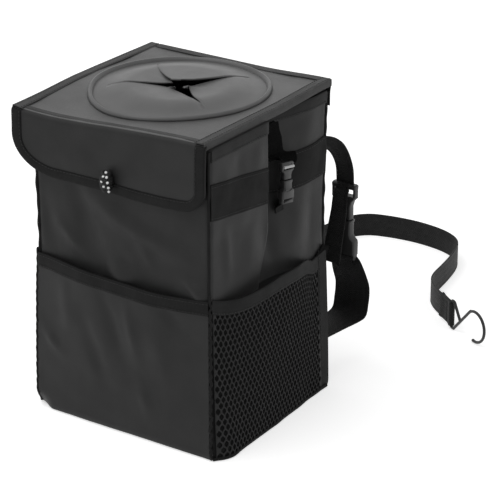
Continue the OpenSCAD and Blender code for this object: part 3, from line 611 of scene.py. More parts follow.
STRAP_ROUTE = [
    [-20, 0], [-34, 0], [-46, 1], [-57, 5], [-66, 12], [-74, 24], [-81, 42], [-87, 66],
    [-92, 96], [-95, 130], [-96, 164], [-95, 198], [-93, 228], [-90, 256], [-87, 280],
    [-83, 302], [-78, 316], [-71, 326], [-62, 333], [-50, 337], [-36, 340], [-16, 342], [4, 341],
    [24, 337], [41, 329], [52, 318], [59, 303], [64, 285], [68, 266], [71, 248], [74, 233],
    [80, 218], [90, 205], [101, 194.5], [112, 186.5],
]
STRAP_LIFT = 3.4  # how far its end stands off the ground
WALL_Y = HALF_D + 0.1 + WEB_T / 2  # middle of a web that lies on the back wall
STRAP_EYE = WIRE_D / 2 + BAR_GAP + WEB_T / 2
STRAP_FAR = END_L + WIRE_D / 2 + BAR_GAP  # from the strap's end to the hook's bar
END_SEAMS, END_LAYER = (4.4, 13.5), 0.86  # its rows of sewing, and how far its layers lie out
HOOK_TURN, HOOK_LEAN, ARM_GAP = math.radians(11), math.radians(40), 0.3


def strap_points():
    """The route with the height of the strap's lower edge"""
    count = len(STRAP_ROUTE)
    route = np.array(STRAP_ROUTE, float) + [0, WALL_Y]
    return np.column_stack([route, STRAP_LIFT * smooth((np.arange(count) - (count - 6)) / 5)])


def hook_strap():
    route = strap_points()
    path = resample(route + UP * LONG_WEB_W / 2, 260, 2)
    strap = ribbon("long_strap", path, UP, LONG_WEB_W, WEB_T, WEB, "bin", "hook_strap")
    ahead = np.array([*unit(route[-1, :2] - route[-2, :2]), 0.0])
    end = strap_end(route[-1], ahead)
    hook = wire_hook(route[-1], ahead)
    float(lengths(path)[-1]) * MM


def strap_end(tip, ahead):
    """The web doubled round the hook's bar and sewn"""
    side = np.array([-ahead[1], ahead[0], 0.0])
    turn = np.radians(np.linspace(-125, 125, 15))
    bend = join(STRAP_FAR + STRAP_EYE * np.cos(turn), STRAP_EYE * np.sin(turn))
    start = np.array([[-4, 1.7], [-1, 1.68], [3, 1.0], [8, 0.86], [15, 0.88]])
    flat = np.vstack([start * [1, -1], bend, start[::-1]])
    fold = resample(join(flat[:, 0], flat[:, 1], LONG_WEB_W / 2), 90, 2)
    place = tip + fold[:, :1] * ahead + fold[:, 1:2] * side + fold[:, 2:] * UP
    end = ribbon("long_strap_end", place, UP, LONG_WEB_W, WEB_T, WEB, "bin", "hook_strap_end")
    for at in END_SEAMS:
        for face in (-1, 1):
            foot = tip + ahead * at + side * face * (END_LAYER + WEB_T / 2)
            line = foot + np.linspace(2, LONG_WEB_W - 2, 12)[:, None] * UP
            stitch("bin", line, side * face, 2.6, 2.0, 0.32)
    return end


def wire_hook(tip, ahead):
    """Bent wire: a bar in the strap's eye, two arms that meet, and the open hook"""
    heading = math.atan2(ahead[1], ahead[0]) + HOOK_TURN
    along = np.array([math.cos(heading), math.sin(heading), 0.0])
    foot = (tip + ahead * STRAP_FAR) * [1, 1, 0]
    middle = HOOK_R + WIRE_D / 2 + 0.2
    low, high = tip[2] - ARM_GAP - WIRE_D / 2, tip[2] + LONG_WEB_W + ARM_GAP + WIRE_D / 2
    elbow = STRAP_EYE + WIRE_D * 0.7
    crown = np.array([HOOK_REACH - HOOK_R * math.sin(HOOK_LEAN), middle + HOOK_R * math.cos(HOOK_LEAN)])
    knee = np.array([elbow, low]) + (crown - [elbow, low]) * 0.42
    turn = np.radians(np.linspace(130, -105, 40))
    bend = join(HOOK_REACH + HOOK_R * np.cos(turn), middle + HOOK_R * np.sin(turn))
    straight = rounded([[elbow + 0.4, high], [0, high], [0, low], [elbow, low], crown], 2.4)
    main = np.vstack([straight[:-1], bend])
    arm = rounded([[0.6, high], [elbow, high], knee], 3)
    hook_ends = [WIRE_D * 0.53, WIRE_D * 0.57, WIRE_D * 0.5, WIRE_D * 0.2]
    wire = Joined()
    for flat, count, first, last in ((main, 150, [0.6, 1.3], hook_ends), (arm, 40, [], [1.3, 0.6])):
        path = resample(foot + flat[:, :1] * along + flat[:, 1:] * UP, count, 1)
        plain = np.full(count - len(first) - len(last), WIRE_D / 2)
        wire.add(pipe_rings(path, np.r_[first, plain, last], 14))
    return wire.make("bent_wire_hook", WIRE, "hook", "wire_hook")


hook_strap()


# The soft box. A fold is its two ends across and up the wall, its width and its height.

SIDE_FOLDS = [
    (-70, 208, -66, 160, 6, 1.8), (-36, 208, -30, 150, 16, 3.2), (-4, 205, -8, 158, 6, 1.8),
    (12, 206, 14, 152, 8, -3.0), (48, 208, 50, 158, 12, 1.6), (72, 204, 70, 150, 8, -2.0),
    (-52, 278, -46, 252, 7, -1.2), (-22, 280, -20, 250, 10, 1.4), (-72, 276, -70, 248, 8, 0.8),
    (10, 276, 36, 244, 6, -1.8), (60, 276, 62, 250, 14, 1.2),
]
FRONT_FOLDS = [
    (-47, 222, -24, 158, 9, -3.4), (-68, 190, -42, 168, 7, 2.4), (-30, 222, 10, 208, 9, 2.0),
    (-4, 208, 64, 190, 8, 2.6), (22, 194, 38, 170, 6, 1.6), (70, 168, 92, 158, 5, 2.2),
    (2, 172, 6, 140, 15, 5.0), (86, 168, 86, 140, 13, 1.6), (58, 214, 90, 190, 9, -0.5),
    (-88, 214, -76, 160, 8, -1.2), (2, 178, 14, 156, 8, -1.6),
]
POCKET_FOLDS = [
    (-15, 138, 6, 78, 7, -1.5), (12, 131, 21, 84, 6, 1.4), (-39, 108, -15, 50, 8, -1.2),
    (50, 140, 68, 124, 6, -1.2), (-86, 80, -70, 66, 5, 1.2), (26, 54, 30, 30, 6, 0.9),
    (-64, 140, -56, 90, 9, 0.9), (44, 110, 54, 60, 9, 0.7),
]
CORNER_FLARE, CORNER_LIFT, SAG_FROM, CORNER_CUT = 3.0, 2.6, 235.0, 6.0
HANG = 0.3  # share of the foot's curl that the pockets follow
SAG_LINE = [
    (-112, 4.0), (-96, 6.0), (-74, 7.4), (-52, 7.5), (-30, 6.4), (-7, 4.7), (15, 3.3), (37, 2.0),
    (70, 0.5), (98, 0)]
SQUEEZE = [
    (0, 0), (45, 1), (86, 2.5), (126, 4.2), (146, 5.6), (190, 6), (235, 5), (265, 4.6), (293, 3.5),
    (300, 3.5)]


def sag(x, y):
    """How far the front edge hangs at a place in plan. The very corner is stiff and hangs less."""
    return through(x, SAG_LINE) * ramp(-y, 15, 78)


def settle(points, lid=False):
    """The box narrows upwards at its corners, and its left front corner sags with the lid. The lid
    flares there and lifts at its right rear corner."""
    p = np.array(points, float)
    x, y, z = p[..., 0].copy(), p[..., 1].copy(), p[..., 2].copy()
    if lid:
        corner = ramp(-x, 40, 60) * ramp(-y, 25, 68)
        p[..., :2] -= CORNER_FLARE * corner[..., None]
        p[..., 2] += CORNER_LIFT * ramp(x, 20, 76) * ramp(y, 5, 90) - sag(x, y)
    else:
        away = np.where(x > 0, ramp(y, 22, 66), smooth(np.abs(y - 22) / 80))
        p[..., 0] -= through(z, SQUEEZE) * away * x / HALF_W
        low = CORNER_CUT * (1 - smooth(z / 18)) * ramp(-x, 80, 18) * ramp(-y, 70, 26)
        p[..., 1] += low
        p[..., 2] += 0.35 * low - sag(x, y) * smooth((z - SAG_FROM) / (BODY_TOP - SAG_FROM))
    return p


def hung(z):
    """Half width of the box at height z where a pocket lies on it"""
    return HALF_W - HANG * foot_in(z)


def foot_in(z):
    """How far the walls have curled in at height z"""
    low = np.minimum(z, FOOT_R)
    return FOOT_R - np.sqrt(np.maximum(FOOT_R ** 2 - (FOOT_R - low) ** 2, 0))


def wall_x(y, z):
    """Outer face of the right wall"""
    start = PLEAT_Y - PLEAT_DRIFT * smooth((205 - z) / 75)
    rise = smooth((y - start) / PLEAT_LIP)
    fall = 1 - smooth((y - start - PLEAT_LIP) / (HALF_D - 16 - start - PLEAT_LIP))
    open_up = smooth((z - PLEAT_LOW) / (PLEAT_HIGH - PLEAT_LOW))
    pleat = PLEAT_DEPTH * np.clip(np.minimum(rise, fall), 0, 1) * open_up
    soft = creases(y, z, SIDE_FOLDS) + 0.5 * ripple(y, z, 3, 70)
    inside = smooth((HALF_D - np.abs(y)) / 10) * smooth((PANEL_TOP - z) / 14)
    return HALF_W - foot_in(z) - pleat + soft * inside


HOLLOW = 2.6  # the deepest that a fold goes into the front wall


def front_y(x, z):
    """Outer face of the front wall"""
    soft = 1.3 * creases(x, z, FRONT_FOLDS)
    soft = np.where(soft < 0, HOLLOW * np.tanh(soft / HOLLOW), soft) + 0.5 * ripple(x, z, 5, 80)
    inside = smooth((HALF_W - np.abs(x)) / 12) * smooth((PANEL_TOP - z) / 30)
    turned = 3.0 * ramp(x, 56, 34) * ramp(z, 158, 20)
    return -(HALF_D - foot_in(z)) - soft * inside + turned


def wall_rows(step=3.0):
    """Heights up a wall, closer together round its foot"""
    turn = np.radians(np.linspace(-62, 0, 7))
    return np.r_[FOOT_R + FOOT_R * np.sin(turn), np.arange(FOOT_R + step, PANEL_TOP, step), PANEL_TOP]


def corner_curl(edge):
    """How far a wall turns in beside the piping, at distance edge from its own edge"""
    return SEAM_CURL * np.exp(-(edge / SEAM_CURL_W) ** 2)


def walls():
    end = HALF_W - CORNER_IN
    x, z = np.meshgrid(np.linspace(-end, end, 76), wall_rows())
    curl = corner_curl(end - np.abs(x))
    sheet("front_wall", settle(join(x, front_y(x, z) + curl, z)), WALL_T, CLOTH, "bin", "front_panel")
    back = HALF_D - foot_in(z) + 0.6 * ripple(x, z, 8, 90) * smooth((HALF_W - np.abs(x)) / 12)
    sheet("back_wall", settle(join(-x, back - curl, z)), WALL_T, CLOTH, "bin", "back_panel")
    end = HALF_D - CORNER_IN
    first, last = PLEAT_Y - PLEAT_DRIFT, PLEAT_Y + PLEAT_LIP
    columns = np.r_[np.linspace(-end, first - 2, 28), np.linspace(first, last, 26),
                    np.linspace(last + 2.5, end, 30)]
    y, z = np.meshgrid(columns, wall_rows())
    x = wall_x(y, z) - corner_curl(end - np.abs(y))
    for side, name in SIDES:
        side_sheet(side, name + "_wall", x, y, z, WALL_T, CLOTH, name + "_panel")


def piping():
    """Cord in a tape at the four upright corners, with the small waves that sewing leaves"""
    z = np.linspace(FOOT_R - 2.5, PANEL_TOP - 1, 130)
    for sy, end in ((-1, "front_"), (1, "back_")):
        for sx, side in SIDES:
            wave = 0.22 * np.sin(z / 3.1 + sx) + 0.16 * np.sin(z / 5.3 + 2 * sy)
            out = wave + 0.2 - PIPING_D / 2 - 1.2 * smooth((FOOT_R - z) / 3)
            path = settle(join(sx * (HALF_W + out), sy * (HALF_D + out), z))
            sweep("piping_tape_" + end + side, pipe_rings(path, PIPING_D * 0.56, 10), TAPE, "bin",
                  "piping_" + end + side)


def round_plan(half_x, half_y, r, z, steps=6):
    """Ring of a rectangle with round corners at height z"""
    ring = []
    for k, (sx, sy) in enumerate(((1, -1), (1, 1), (-1, 1), (-1, -1))):
        for a in np.radians(np.linspace(-90, 0, steps) + 90 * k):
            ring.append([sx * (half_x - r) + r * math.cos(a), sy * (half_y - r) + r * math.sin(a), z])
    return np.array(ring)


def base():
    inset, r = WALL_T + 2, FOOT_R - 1
    half_x, half_y = HALF_W - inset, HALF_D - inset
    rows = [(1.6, 0.0), (0.5, 0.25), (0.0, 1.0), (0.0, 2.3), (0.8, 3.0)]
    rings = [round_plan(half_x - d, half_y - d, r - d, z) for d, z in rows]
    sweep("base_bottom", rings, CLOTH, "bin", "base_panel")


def wall_plan(z, grow):
    """Ring round the box at height z, moved out by grow, with its outward directions"""
    near = HALF_D - foot_in(z) + grow
    y = np.linspace(-(HALF_D - 4), HALF_D - 4, 46)
    out = wall_x(y, np.full(len(y), z)) + grow
    x = np.linspace(1, -1, 24) * (HALF_W - 4 - foot_in(z))
    flat = np.vstack([join(out, y), join(x, near), join(-out[::-1], y[::-1]), join(-x, -near)])
    ahead = np.roll(flat, -1, 0) - np.roll(flat, 1, 0)
    return flat, unit(join(ahead[:, 1], -ahead[:, 0]))


def rim():
    """Tape over the walls' top edge"""
    flat, out = wall_plan(PANEL_TOP, 0.15)
    top, face = join(*flat.T, BODY_TOP - TAPE_T), join(*out.T, 0)
    rings, uv = edge_tape(lambda d: top - UP * d, face, WALL_T + 0.4, HEM_H - 1, HEM_H - 1, TAPE_T)
    sweep("rim_tape", settle(rings), RIM, "bin", "rim_hem", uv, closed=True)
    line = settle(top + face * (TAPE_T + 0.05) - UP * (HEM_H - 2.6))
    stitch("bin", np.vstack([line, line[:1]]), np.vstack([face, face[:1]]))


def liner():
    outer, inner = [], []
    for z in np.r_[3.4, 6, 10, np.arange(20, BODY_TOP - HEM_H + 1, 10)]:
        flat, out = wall_plan(z, -(PIPING_D + 1.5))
        soft = 0.8 * ripple(flat[:, 0] + flat[:, 1], z, 11, 60) * ramp(z, 10, 30)
        flat = flat - out * np.abs(soft)[:, None]
        outer.append(join(*flat.T, z))
        inner.append(join(*(flat - out * LINER_T).T, max(z, outer[0][0, 2] + 0.8)))
    sweep("liner_bag", settle(outer + inner[::-1]), FILM, "bin", "waterproof_liner")


walls()
piping()
base()
rim()
liner()


# Pockets. A line is the height of an edge along its wall.

FRONT_MOUTH_LINE = [
    (-96, 156), (-80, 156), (-55, 155), (-20, 153.5), (15, 152.5), (45, 151.5), (75, 152.5), (96, 154)]
SIDE_MOUTH_LINE = [
    (-96, 156.5), (-86, 152), (-74, 148.5), (-52, 146), (-31, 146.5), (-8, 148), (16, 147.5),
    (30, 146.5), (45, 144.5), (55, 141), (66, 136), (80, 136), (96, 138)]
MESH_FOOT_LINE = [
    (-95, 1), (-91, 4), (-86, 8), (-80, 10.5), (-64, 10), (-46, 9), (-20, 8), (6, 6), (43, 4), (80, 2),
    (95, 1)]
NET_COLUMNS, NET_ROWS, NET_THREAD = 30, 27, 1.9
NET_UNDER = 6.0  # how far the net goes up under its tape
MESH_Y0 = -HALF_D + PIPING_D
MESH_Y1 = HALF_D - PIPING_D - MESH_STRIP_W
TAPE_SEAM = 2.6  # from the foot of a pocket's tape up to its stitches
SEAM_OUT = 0.95  # how far stitches on a tape lie out from the cloth under it


def swell(u, v):
    """Share of a pocket's bulge: none at its sides and its foot, most at its mouth's middle"""
    return np.sin(np.pi * np.clip(u, 0, 1)) * np.clip(v, 0, 1) ** 0.7


def pocket_front(x, z):
    """Outer face of the front pocket"""
    wave = 1 - 0.22 * (1 + np.sin(np.radians(4 * x) + 0.6 * np.radians(z))) / 2
    out = 0.4 + CLOTH_T + FRONT_BULGE * swell((x / HALF_W + 1) / 2, z / FRONT_MOUTH) * wave
    soft = 1.45 * creases(x, z, POCKET_FOLDS) + 0.35 * ripple(x, z, 21, 60)
    out = out + soft * smooth((HALF_W - np.abs(x)) / 10)
    return settle(join(x, -(HALF_D - HANG * foot_in(z)) - out, z))


def front_pocket():
    end = HALF_W - 0.8
    x, v = np.meshgrid(np.linspace(-end, end, 90), np.linspace(0, 1, 52) ** 1.3)
    grid = pocket_front(x, POCKET_FOOT + (through(x, FRONT_MOUTH_LINE) - POCKET_FOOT) * v)
    sheet("front_pocket_cloth", grid, CLOTH_T, CLOTH, "bin", "front_pocket")
    x = np.linspace(-end - 0.6, end + 0.6, 110)
    mouth = through(x, FRONT_MOUTH_LINE)
    out = unit(join(-0.1 * np.sin(np.pi * x / HALF_W), -1, 0.05))
    rings, uv = edge_tape(lambda d: pocket_front(x, mouth - d), out, CLOTH_T, FRONT_TAPE_W - 1, 8)
    sweep("front_pocket_tape", rings, TAPE, "bin", "front_pocket_binding", uv)
    for d in (FRONT_TAPE_W - TAPE_SEAM, 1.8):
        stitch("bin", pocket_front(x, mouth - d) + out * SEAM_OUT, out)


def pocket_side(side, y, z):
    """Outer face of a mesh pocket"""
    u = (y - MESH_Y0) / (MESH_Y1 - MESH_Y0)
    v = z / MESH_MOUTH
    out = POCKET_GAP + CLOTH_T + MESH_BULGE * swell(u, v)
    out = out + through(y, MESH_FOOT_LINE) * (1 - np.clip(v, 0, 1)) ** 1.6
    out = out + 0.7 * ripple(y, z, 31, 70) * smooth(u * 8) * smooth((1 - u) * 8)
    return settle(join(side * (hung(z) + out), y, z))


class NetPoints:
    """Points of a flat net, each kept once"""

    def __init__(self, pitch):
        self.pitch, self.found, self.points = pitch, {}, []

    def number(self, x, z, crown):
        key = (round(x * 50), round(z * 20000), crown)
        if key not in self.found:
            self.found[key] = len(self.points)
            self.points.append((x, z, crown))
        return self.found[key]

    def ring(self, x, z, cell, share_x=1, share_z=1, crown=1):
        return [self.number(x + a * self.pitch * share_x, z + b * share_z, crown) for a, b in cell]


def net_grid():
    """Points and faces of a net of long staggered holes. Each point is across, share of the height and
    its ring: 0 at a hole, 1 between holes, 2 along the thread's middle."""
    pitch = (MESH_Y1 - MESH_Y0) / NET_COLUMNS
    row = 1.0 / NET_ROWS
    tall, short = 0.76 * row, 0.24 * row
    cell = [(0, tall), (-0.5, short), (-0.5, -short), (0, -tall), (0.5, -short), (0.5, short)]
    in_x = 1 - NET_THREAD / pitch
    in_z = 1 - 0.85 * NET_THREAD / (2 * tall * MESH_MOUTH)
    net, faces = NetPoints(pitch), []
    for j in range(NET_ROWS):
        z, odd = (j + 0.5) * row, j % 2
        for i in range(NET_COLUMNS - odd):
            x = (i + 0.5 + 0.5 * odd) * pitch
            outer = net.ring(x, z, cell)
            middle = net.ring(x, z, cell, (1 + in_x) / 2, (1 + in_z) / 2, 2)
            inner = net.ring(x, z, cell, in_x, in_z, 0)
            for k in range(6):
                n = (k + 1) % 6
                faces.append((outer[k], outer[n], middle[n], middle[k]))
                faces.append((middle[k], middle[n], inner[n], inner[k]))
        for edge, s in ((0, 1), (NET_COLUMNS * pitch, -1)) if odd else ():
            ring = net.ring(edge, z, [(0, tall), (0, -tall), (0.5 * s, -short), (0.5 * s, short)])
            faces.append(tuple(ring[::s]))
    return np.array(net.points), faces


def net(side, name):
    flat, faces = net_grid()
    y = MESH_Y0 + flat[:, 0]
    z = NET_FOOT + (through(y, SIDE_MOUTH_LINE) - NET_UNDER - NET_FOOT) * np.clip(flat[:, 1], 0, 1)
    points = pocket_side(side, y, z)
    points[:, 0] += side * np.choose(flat[:, 2].astype(int), [-0.28, 0.25, 0.1])
    faces = [face[::side] for face in faces]
    made = piece(name + "_net", points, faces, NET, "bin", name + "_mesh_pocket", closed=False)
    thicken(made, CLOTH_T)


def thicken(obj, thick):
    """Gives an open mesh its thickness inwards"""
    made = obj.modifiers.new("thickness", "SOLIDIFY")
    made.thickness = thick * MM
    made.offset = -1


def net_shade_sheet(side, name):
    """Dark matte sheet behind the net that paints the shade inside the pocket, and follows the net out
    at its foot
    """
    y, v = np.meshgrid(np.linspace(MESH_Y0 - 1.5, MESH_Y1 + 2, 40), np.linspace(0, 1, 30))
    z = 1.2 + (through(y, SIDE_MOUTH_LINE) - 10) * v ** 1.5
    x = wall_x(y, z) + 0.6
    x += np.maximum(side * pocket_side(side, y, z)[..., 0] - 1.6 - x, 0) * (1 - ramp(z, 8, 34))
    side_sheet(side, name + "_net_backing", x, y, z, NET_SHADE_T, NET_SHADE)


def net_tape(side, name):
    y = np.linspace(-HALF_D + 1.2, MESH_Y1 + 1, 90)
    mouth = through(y, SIDE_MOUTH_LINE)
    out = unit(join(side, -0.15 * np.cos(np.pi * (y + HALF_D) / 170), 0))
    rings, uv = edge_tape(lambda d: pocket_side(side, y, mouth - d), out, CLOTH_T, MESH_TAPE_W - 1, 9)
    sweep(name + "_net_tape", rings, TAPE, "bin", name + "_mesh_binding", uv)
    stitch("bin", pocket_side(side, y, mouth - MESH_TAPE_W + TAPE_SEAM) + out * SEAM_OUT, out)


def edge_strip(side, name):
    """Solid strip between the net and the back corner"""
    y, v = np.meshgrid(np.linspace(MESH_Y1 - 1.2, HALF_D - PIPING_D + 0.6, 6), np.linspace(0, 1, 50))
    z = STRIP_FOOT + (through(y, SIDE_MOUTH_LINE) - STRIP_FOOT) * v
    out = POCKET_GAP + CLOTH_T + 1.2
    side_sheet(side, name + "_edge_strip", hung(z) + out, y, z, CLOTH_T, STRIP, name + "_mesh_strip")
    z = np.linspace(2.5, 144, 60)
    line = join(side * (hung(z) + out + 0.05), MESH_Y1 + 1.2, z)
    stitch("bin", settle(line), (side, 0, 0))


def pocket_seams(side, name):
    """Gathered seam of the two pockets at the front corner, and the mesh pocket's seam at its foot"""
    z = np.r_[np.linspace(1.6, 156, 150), 158.5, 160]
    wave = 0.8 * np.sin(z / 1.3) + 0.5 * np.sin(z / 2.9)
    wave[-2:] = [0.5, -1.5]
    x = side * (hung(z) + 0.7 + 0.7 * wave)
    seam = settle(join(x, -HALF_D - 0.4 + 0.5 * wave, z))
    sweep(name + "_pocket_seam", pipe_rings(seam, 1.3, 8), TAPE, "bin")
    y = np.linspace(-HALF_D + 1, HALF_D - 6, 120)
    on_net = np.minimum(y, MESH_Y1)
    foot = pocket_side(side, on_net, np.full(120, 1.9))
    foot[:, 1] += y - on_net
    foot[:, 0] = side * np.maximum(side * foot[:, 0] - 0.4, HALF_W - 2)
    sweep(name + "_foot_seam", pipe_rings(foot, 1.8, 10), TAPE, "bin")


front_pocket()
for sign, word in SIDES:
    for part in (net, net_shade_sheet, net_tape, edge_strip, pocket_seams):
        part(sign, word)


# Side bands and clips

BAND_TOP_LINE = [
    (-96, 261), (-82, 259.5), (-45, 255), (-6, 250), (12, 247.5), (41, 247), (87, 249), (96, 250)]
BAND_FOOT_LINE = [
    (-96, 229), (-86, 227), (-45, 222), (-6, 217), (12, 215.5), (48, 212), (87, 212.5), (96, 213)]


BAND_LIFT, BAND_PUFF, BAND_SEAM = 0.15, 0.5, 2.2


def side_band(side, name):
    end = HALF_D - 2.0
    y, v = np.meshgrid(np.linspace(-end, end, 90), np.linspace(0, 1, 14))
    low, high = through(y, BAND_FOOT_LINE), through(y, BAND_TOP_LINE)
    z = low + (high - low) * v
    puff = BAND_PUFF * np.sin(np.pi * v) * (1 + 0.5 * ripple(y, z, 41, 40))
    side_sheet(side, name + "_side_band", wall_x(y, z) + BAND_LIFT + BAND_T + puff, y, z, BAND_T, BAND,
               name + "_band", join(z, y))
    y = y[0]
    for line, d in ((BAND_FOOT_LINE, BAND_SEAM), (BAND_TOP_LINE, -BAND_SEAM)):
        z = through(y, line) + d
        stitch("bin", settle(join(side * (wall_x(y, z) + BAND_LIFT + BAND_T + 0.1), y, z)), (side, 0, 0))


def block(rows, r, shift=0.0):
    """Rings of a clip's solid through rows of half width, half depth and height"""
    return [round_plan(a, b, min(r, a * 0.95, b * 0.95), z, 4) + [shift, 0, 0] for a, b, z in rows]


BAR_SLOT = 5.2  # room for the web beside the socket's bar


def socket_parts(h, e, socket_l, lug):
    """Solids of a clip's socket in its own axes: x across, y out, z up from the mouth. h and e are half
    its width and thickness."""
    body = socket_l - lug
    shell = [
        (h * 0.6, e - 1.2, -1.2), (h * 0.62, e - 0.9, -0.05), (h * 0.68, e + 0.1, 0),
        (h * 0.7, e + 0.3, -0.7), (h * 0.68, e + 0.2, -2.0), (h * 0.63, e, -3.0),
        (h * 0.62, e, -body * 0.48), (h * 0.7, e + 0.1, -body * 0.57), (h * 0.96, e + 0.3, -body * 0.68),
        (h, e + 0.1, -body * 0.76), (h, e - 0.1, BAR_SLOT - 0.6 - socket_l),
        (h - 0.5, e - 0.6, BAR_SLOT - socket_l)]
    foot = [(h - 0.2, e * 0.72, z - socket_l) for z in (0, 0.6, 2.4, 3.0)]
    side, high = h * 0.62, -body * 0.56
    ridge = [[-side, e + 0.1, high], [0, e + 0.35, -body * 0.72], [side, e + 0.1, high]]
    parts = [block(shell, 1.6)[::-1], block(foot, 1.3), pipe_rings(rounded(ridge, 1.5), 0.55, 8)]
    for s in (-1, 1):
        heights = (2.0, 2.6, BAR_SLOT - 0.4, BAR_SLOT + 0.4)
        parts.append(block([(1.3, e * 0.72, z - socket_l) for z in heights], 0.7, s * (h - 1.6)))
    return parts


def plug_parts(h, e, head_l, prong, ladder):
    """Solids of a clip's plug in the same axes. Its ladder is the slot that its web passes through."""
    top = min(5.0, head_l * 0.3)
    neck = head_l - top - ladder
    head = [
        (h * 0.58, e - 1.5, 0.3), (h * 0.61, e - 0.9, 0.9), (h * 0.6, e - 0.7, neck * 0.3),
        (h * 0.6, e - 0.7, neck * 0.55), (h * 0.72, e - 0.6, neck * 0.78),
        (h * 0.97, e - 0.5, neck * 0.92), (h - 0.5, e - 0.9, neck)]
    crown = [
        (h - 0.9, e * 0.5, head_l - top), (h - 0.1, e * 0.78, head_l - top + 0.7),
        (h, e * 0.8, head_l - 1.2), (h - 0.7, e * 0.55, head_l)]
    parts = [block(head, 1.3), block(crown, 1.2)]
    bend = [
        (h * 0.4, 1.0), (h * 0.42, -prong * 0.3), (h * 0.44, -prong * 0.5), (h * 0.44, -prong * 0.62),
        (h * 0.34, -prong)]
    for s in (-1, 1):
        heights = (neck - 1.2, neck - 0.6, head_l - top + 0.6, head_l - top + 1.2)
        parts.append(block([(1.3, e * 0.66, z) for z in heights], 0.7, s * (h - 1.5)))
        parts.append([block([(1.3, e - 1.7, z)], 0.7, s * x)[0] for x, z in bend])
    parts.append(block([(h / 6, e - 1.7, z) for z in (1, -prong + 0.5, -prong)], 0.7))
    return parts


class Clip:
    """A clip's sizes and the solids of its two halves"""

    def __init__(self, width, thick, socket_l, head_l, lug, ladder):
        self.low_bar, self.high_bar = BAR_D - socket_l, head_l - BAR_D
        self.half = width / 2 - 1.6
        h, e = width / 2, thick / 2
        self.socket = socket_parts(h, e, socket_l, lug)
        self.plug = plug_parts(h, e, head_l, socket_l - lug - 3, ladder)

    def place(self, names, nodes, bodies, centre, across, out, lean=0.0):
        """Makes the socket and the plug, each with its round bar. The lean slopes what runs across."""
        def at(points):
            p = np.array(points)
            rise = p[..., 2:] - lean * p[..., :1]
            return centre + p[..., :1] * across + p[..., 1:2] * out + rise * UP
        halves = ((self.socket, self.low_bar), (self.plug, self.high_bar))
        for name, node, body, (parts, bar) in zip(names, nodes, bodies, halves):
            joined = Joined()
            for part in parts:
                joined.add(at(part))
            rod = join(np.linspace(-self.half, self.half, 8), 0, bar)
            joined.add(pipe_rings(at(rod), BAR_D / 2, 14))
            joined.make(name, PLASTIC, body, node, angle=32)


def clip_mouth(node):
    """The middle of a socket's mouth"""
    low, high = corners(node)
    return np.array([*((low + high) / 2)[:2], high[2]])


CLIP_W, CLIP_T, CLIP_SOCKET_L, CLIP_HEAD_L, CLIP_LUG, CLIP_LADDER = 18.5, 6.0, 22.0, 17.0, 7.0, 2.2
CLIP_WEB_W, CLIP_WEB_L, CLIP_WEB_T, CLIP_LEAN = 13.0, 18.0, 0.8, 0.17
LOW_WEB_L = 8.0
# Upper web of a clip, from the clip to the fold under the lid, widened past the web and darkened to
# paint the pleat's shade: height, depth, width
TAB_SHADE_LINE = [
    (242.5, 25.5, 14), (246, 28, 26), (250, 30, 38), (257, 30, 43), (265, 28, 42), (273, 25, 38),
    (283, 23, 34)]
SIDE_CLIP = Clip(CLIP_W, CLIP_T, CLIP_SOCKET_L, CLIP_HEAD_L, CLIP_LUG, CLIP_LADDER)


def web_loop(centre, side, bar, s, reach):
    """Path of a web that passes round a clip's bar and lies against the band, above it or below"""
    eye = BAR_D / 2 + BAR_GAP + 0.45
    at = centre[0] * side
    wall = wall_x(centre[1], centre[2] + bar + s * reach) + BAND_T + 1.4
    turn = np.radians(np.linspace(-60, 180, 13))
    half_way = (wall + at) / 2
    over = [[wall + 0.9, s * (reach + 5)], [wall + 0.9, s * reach], [half_way + 1.2, s * reach * 0.5]]
    under = [[half_way - 0.5, s * reach * 0.45], [wall, s * (reach - 1)], [wall, s * (reach + 4.6)]]
    flat = np.vstack([over, join(at + eye * np.cos(turn), -s * eye * np.sin(turn)), under])
    return join(side * flat[:, 0], centre[1], centre[2] + bar + flat[:, 1])


def side_clip(side, name):
    centre = clip_mouth(name + "_clip_socket")
    SIDE_CLIP.place(
        (name + "_clip_shell", name + "_clip_tongue"), (name + "_clip_socket", name + "_clip_plug"),
        ("bin", name + "_plug"), centre, np.array([0, side, 0.0]), np.array([side, 0, 0.0]),
        CLIP_LEAN * side)
    # Painted highlight: a light bar on the plug's top stands for the glint on its glossy top bar
    shine = Joined()
    y = np.linspace(-SIDE_CLIP.half, SIDE_CLIP.half, 6)
    bar = join(side * CLIP_T * 0.42, y, CLIP_HEAD_L - 4.4 - CLIP_LEAN * y)
    shine.add(pipe_rings(centre + bar, 1.35, 14))
    shine.make(name + "_clip_highlight_bar", HIGHLIGHT_BAR, name + "_plug")
    # The upper web is widened and darkened to paint the shade of the pleat's fold
    z, y, width = np.array(TAB_SHADE_LINE, float).T
    x = wall_x(y, z) + 0.9 + BAND_T * smooth((254 - z) / 4)
    x[:2] = centre[0] * side + [-1.0, -2.0]
    loop = web_loop(centre, side, SIDE_CLIP.high_bar, 1, CLIP_WEB_L)[3:-3]
    path = np.vstack([loop, join(side * x, y, z)])
    width = np.r_[np.full(len(loop), CLIP_WEB_W - 1), width]
    upper = clip_web(name + "_upper_tab_shade_web", path, width, SHADE_PAINTED_WEB, None, name + "_clip_upper_tab")
    x, y, z = (centre + [0, 0, SIDE_CLIP.high_bar]) * MM
    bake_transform(upper)
    path = web_loop(centre, side, SIDE_CLIP.low_bar, -1, LOW_WEB_L)
    clip_web(name + "_lower_tab_web", path, CLIP_WEB_W, LOW_WEB, "bin", name + "_clip_lower_tab")


def clip_web(name, path, width, finish, body, node):
    path = resample(join(*path.T, width), 90, 2)
    return ribbon(name, path[:, :3], (0, 1, 0), path[:, 3], CLIP_WEB_T, finish, body, node)


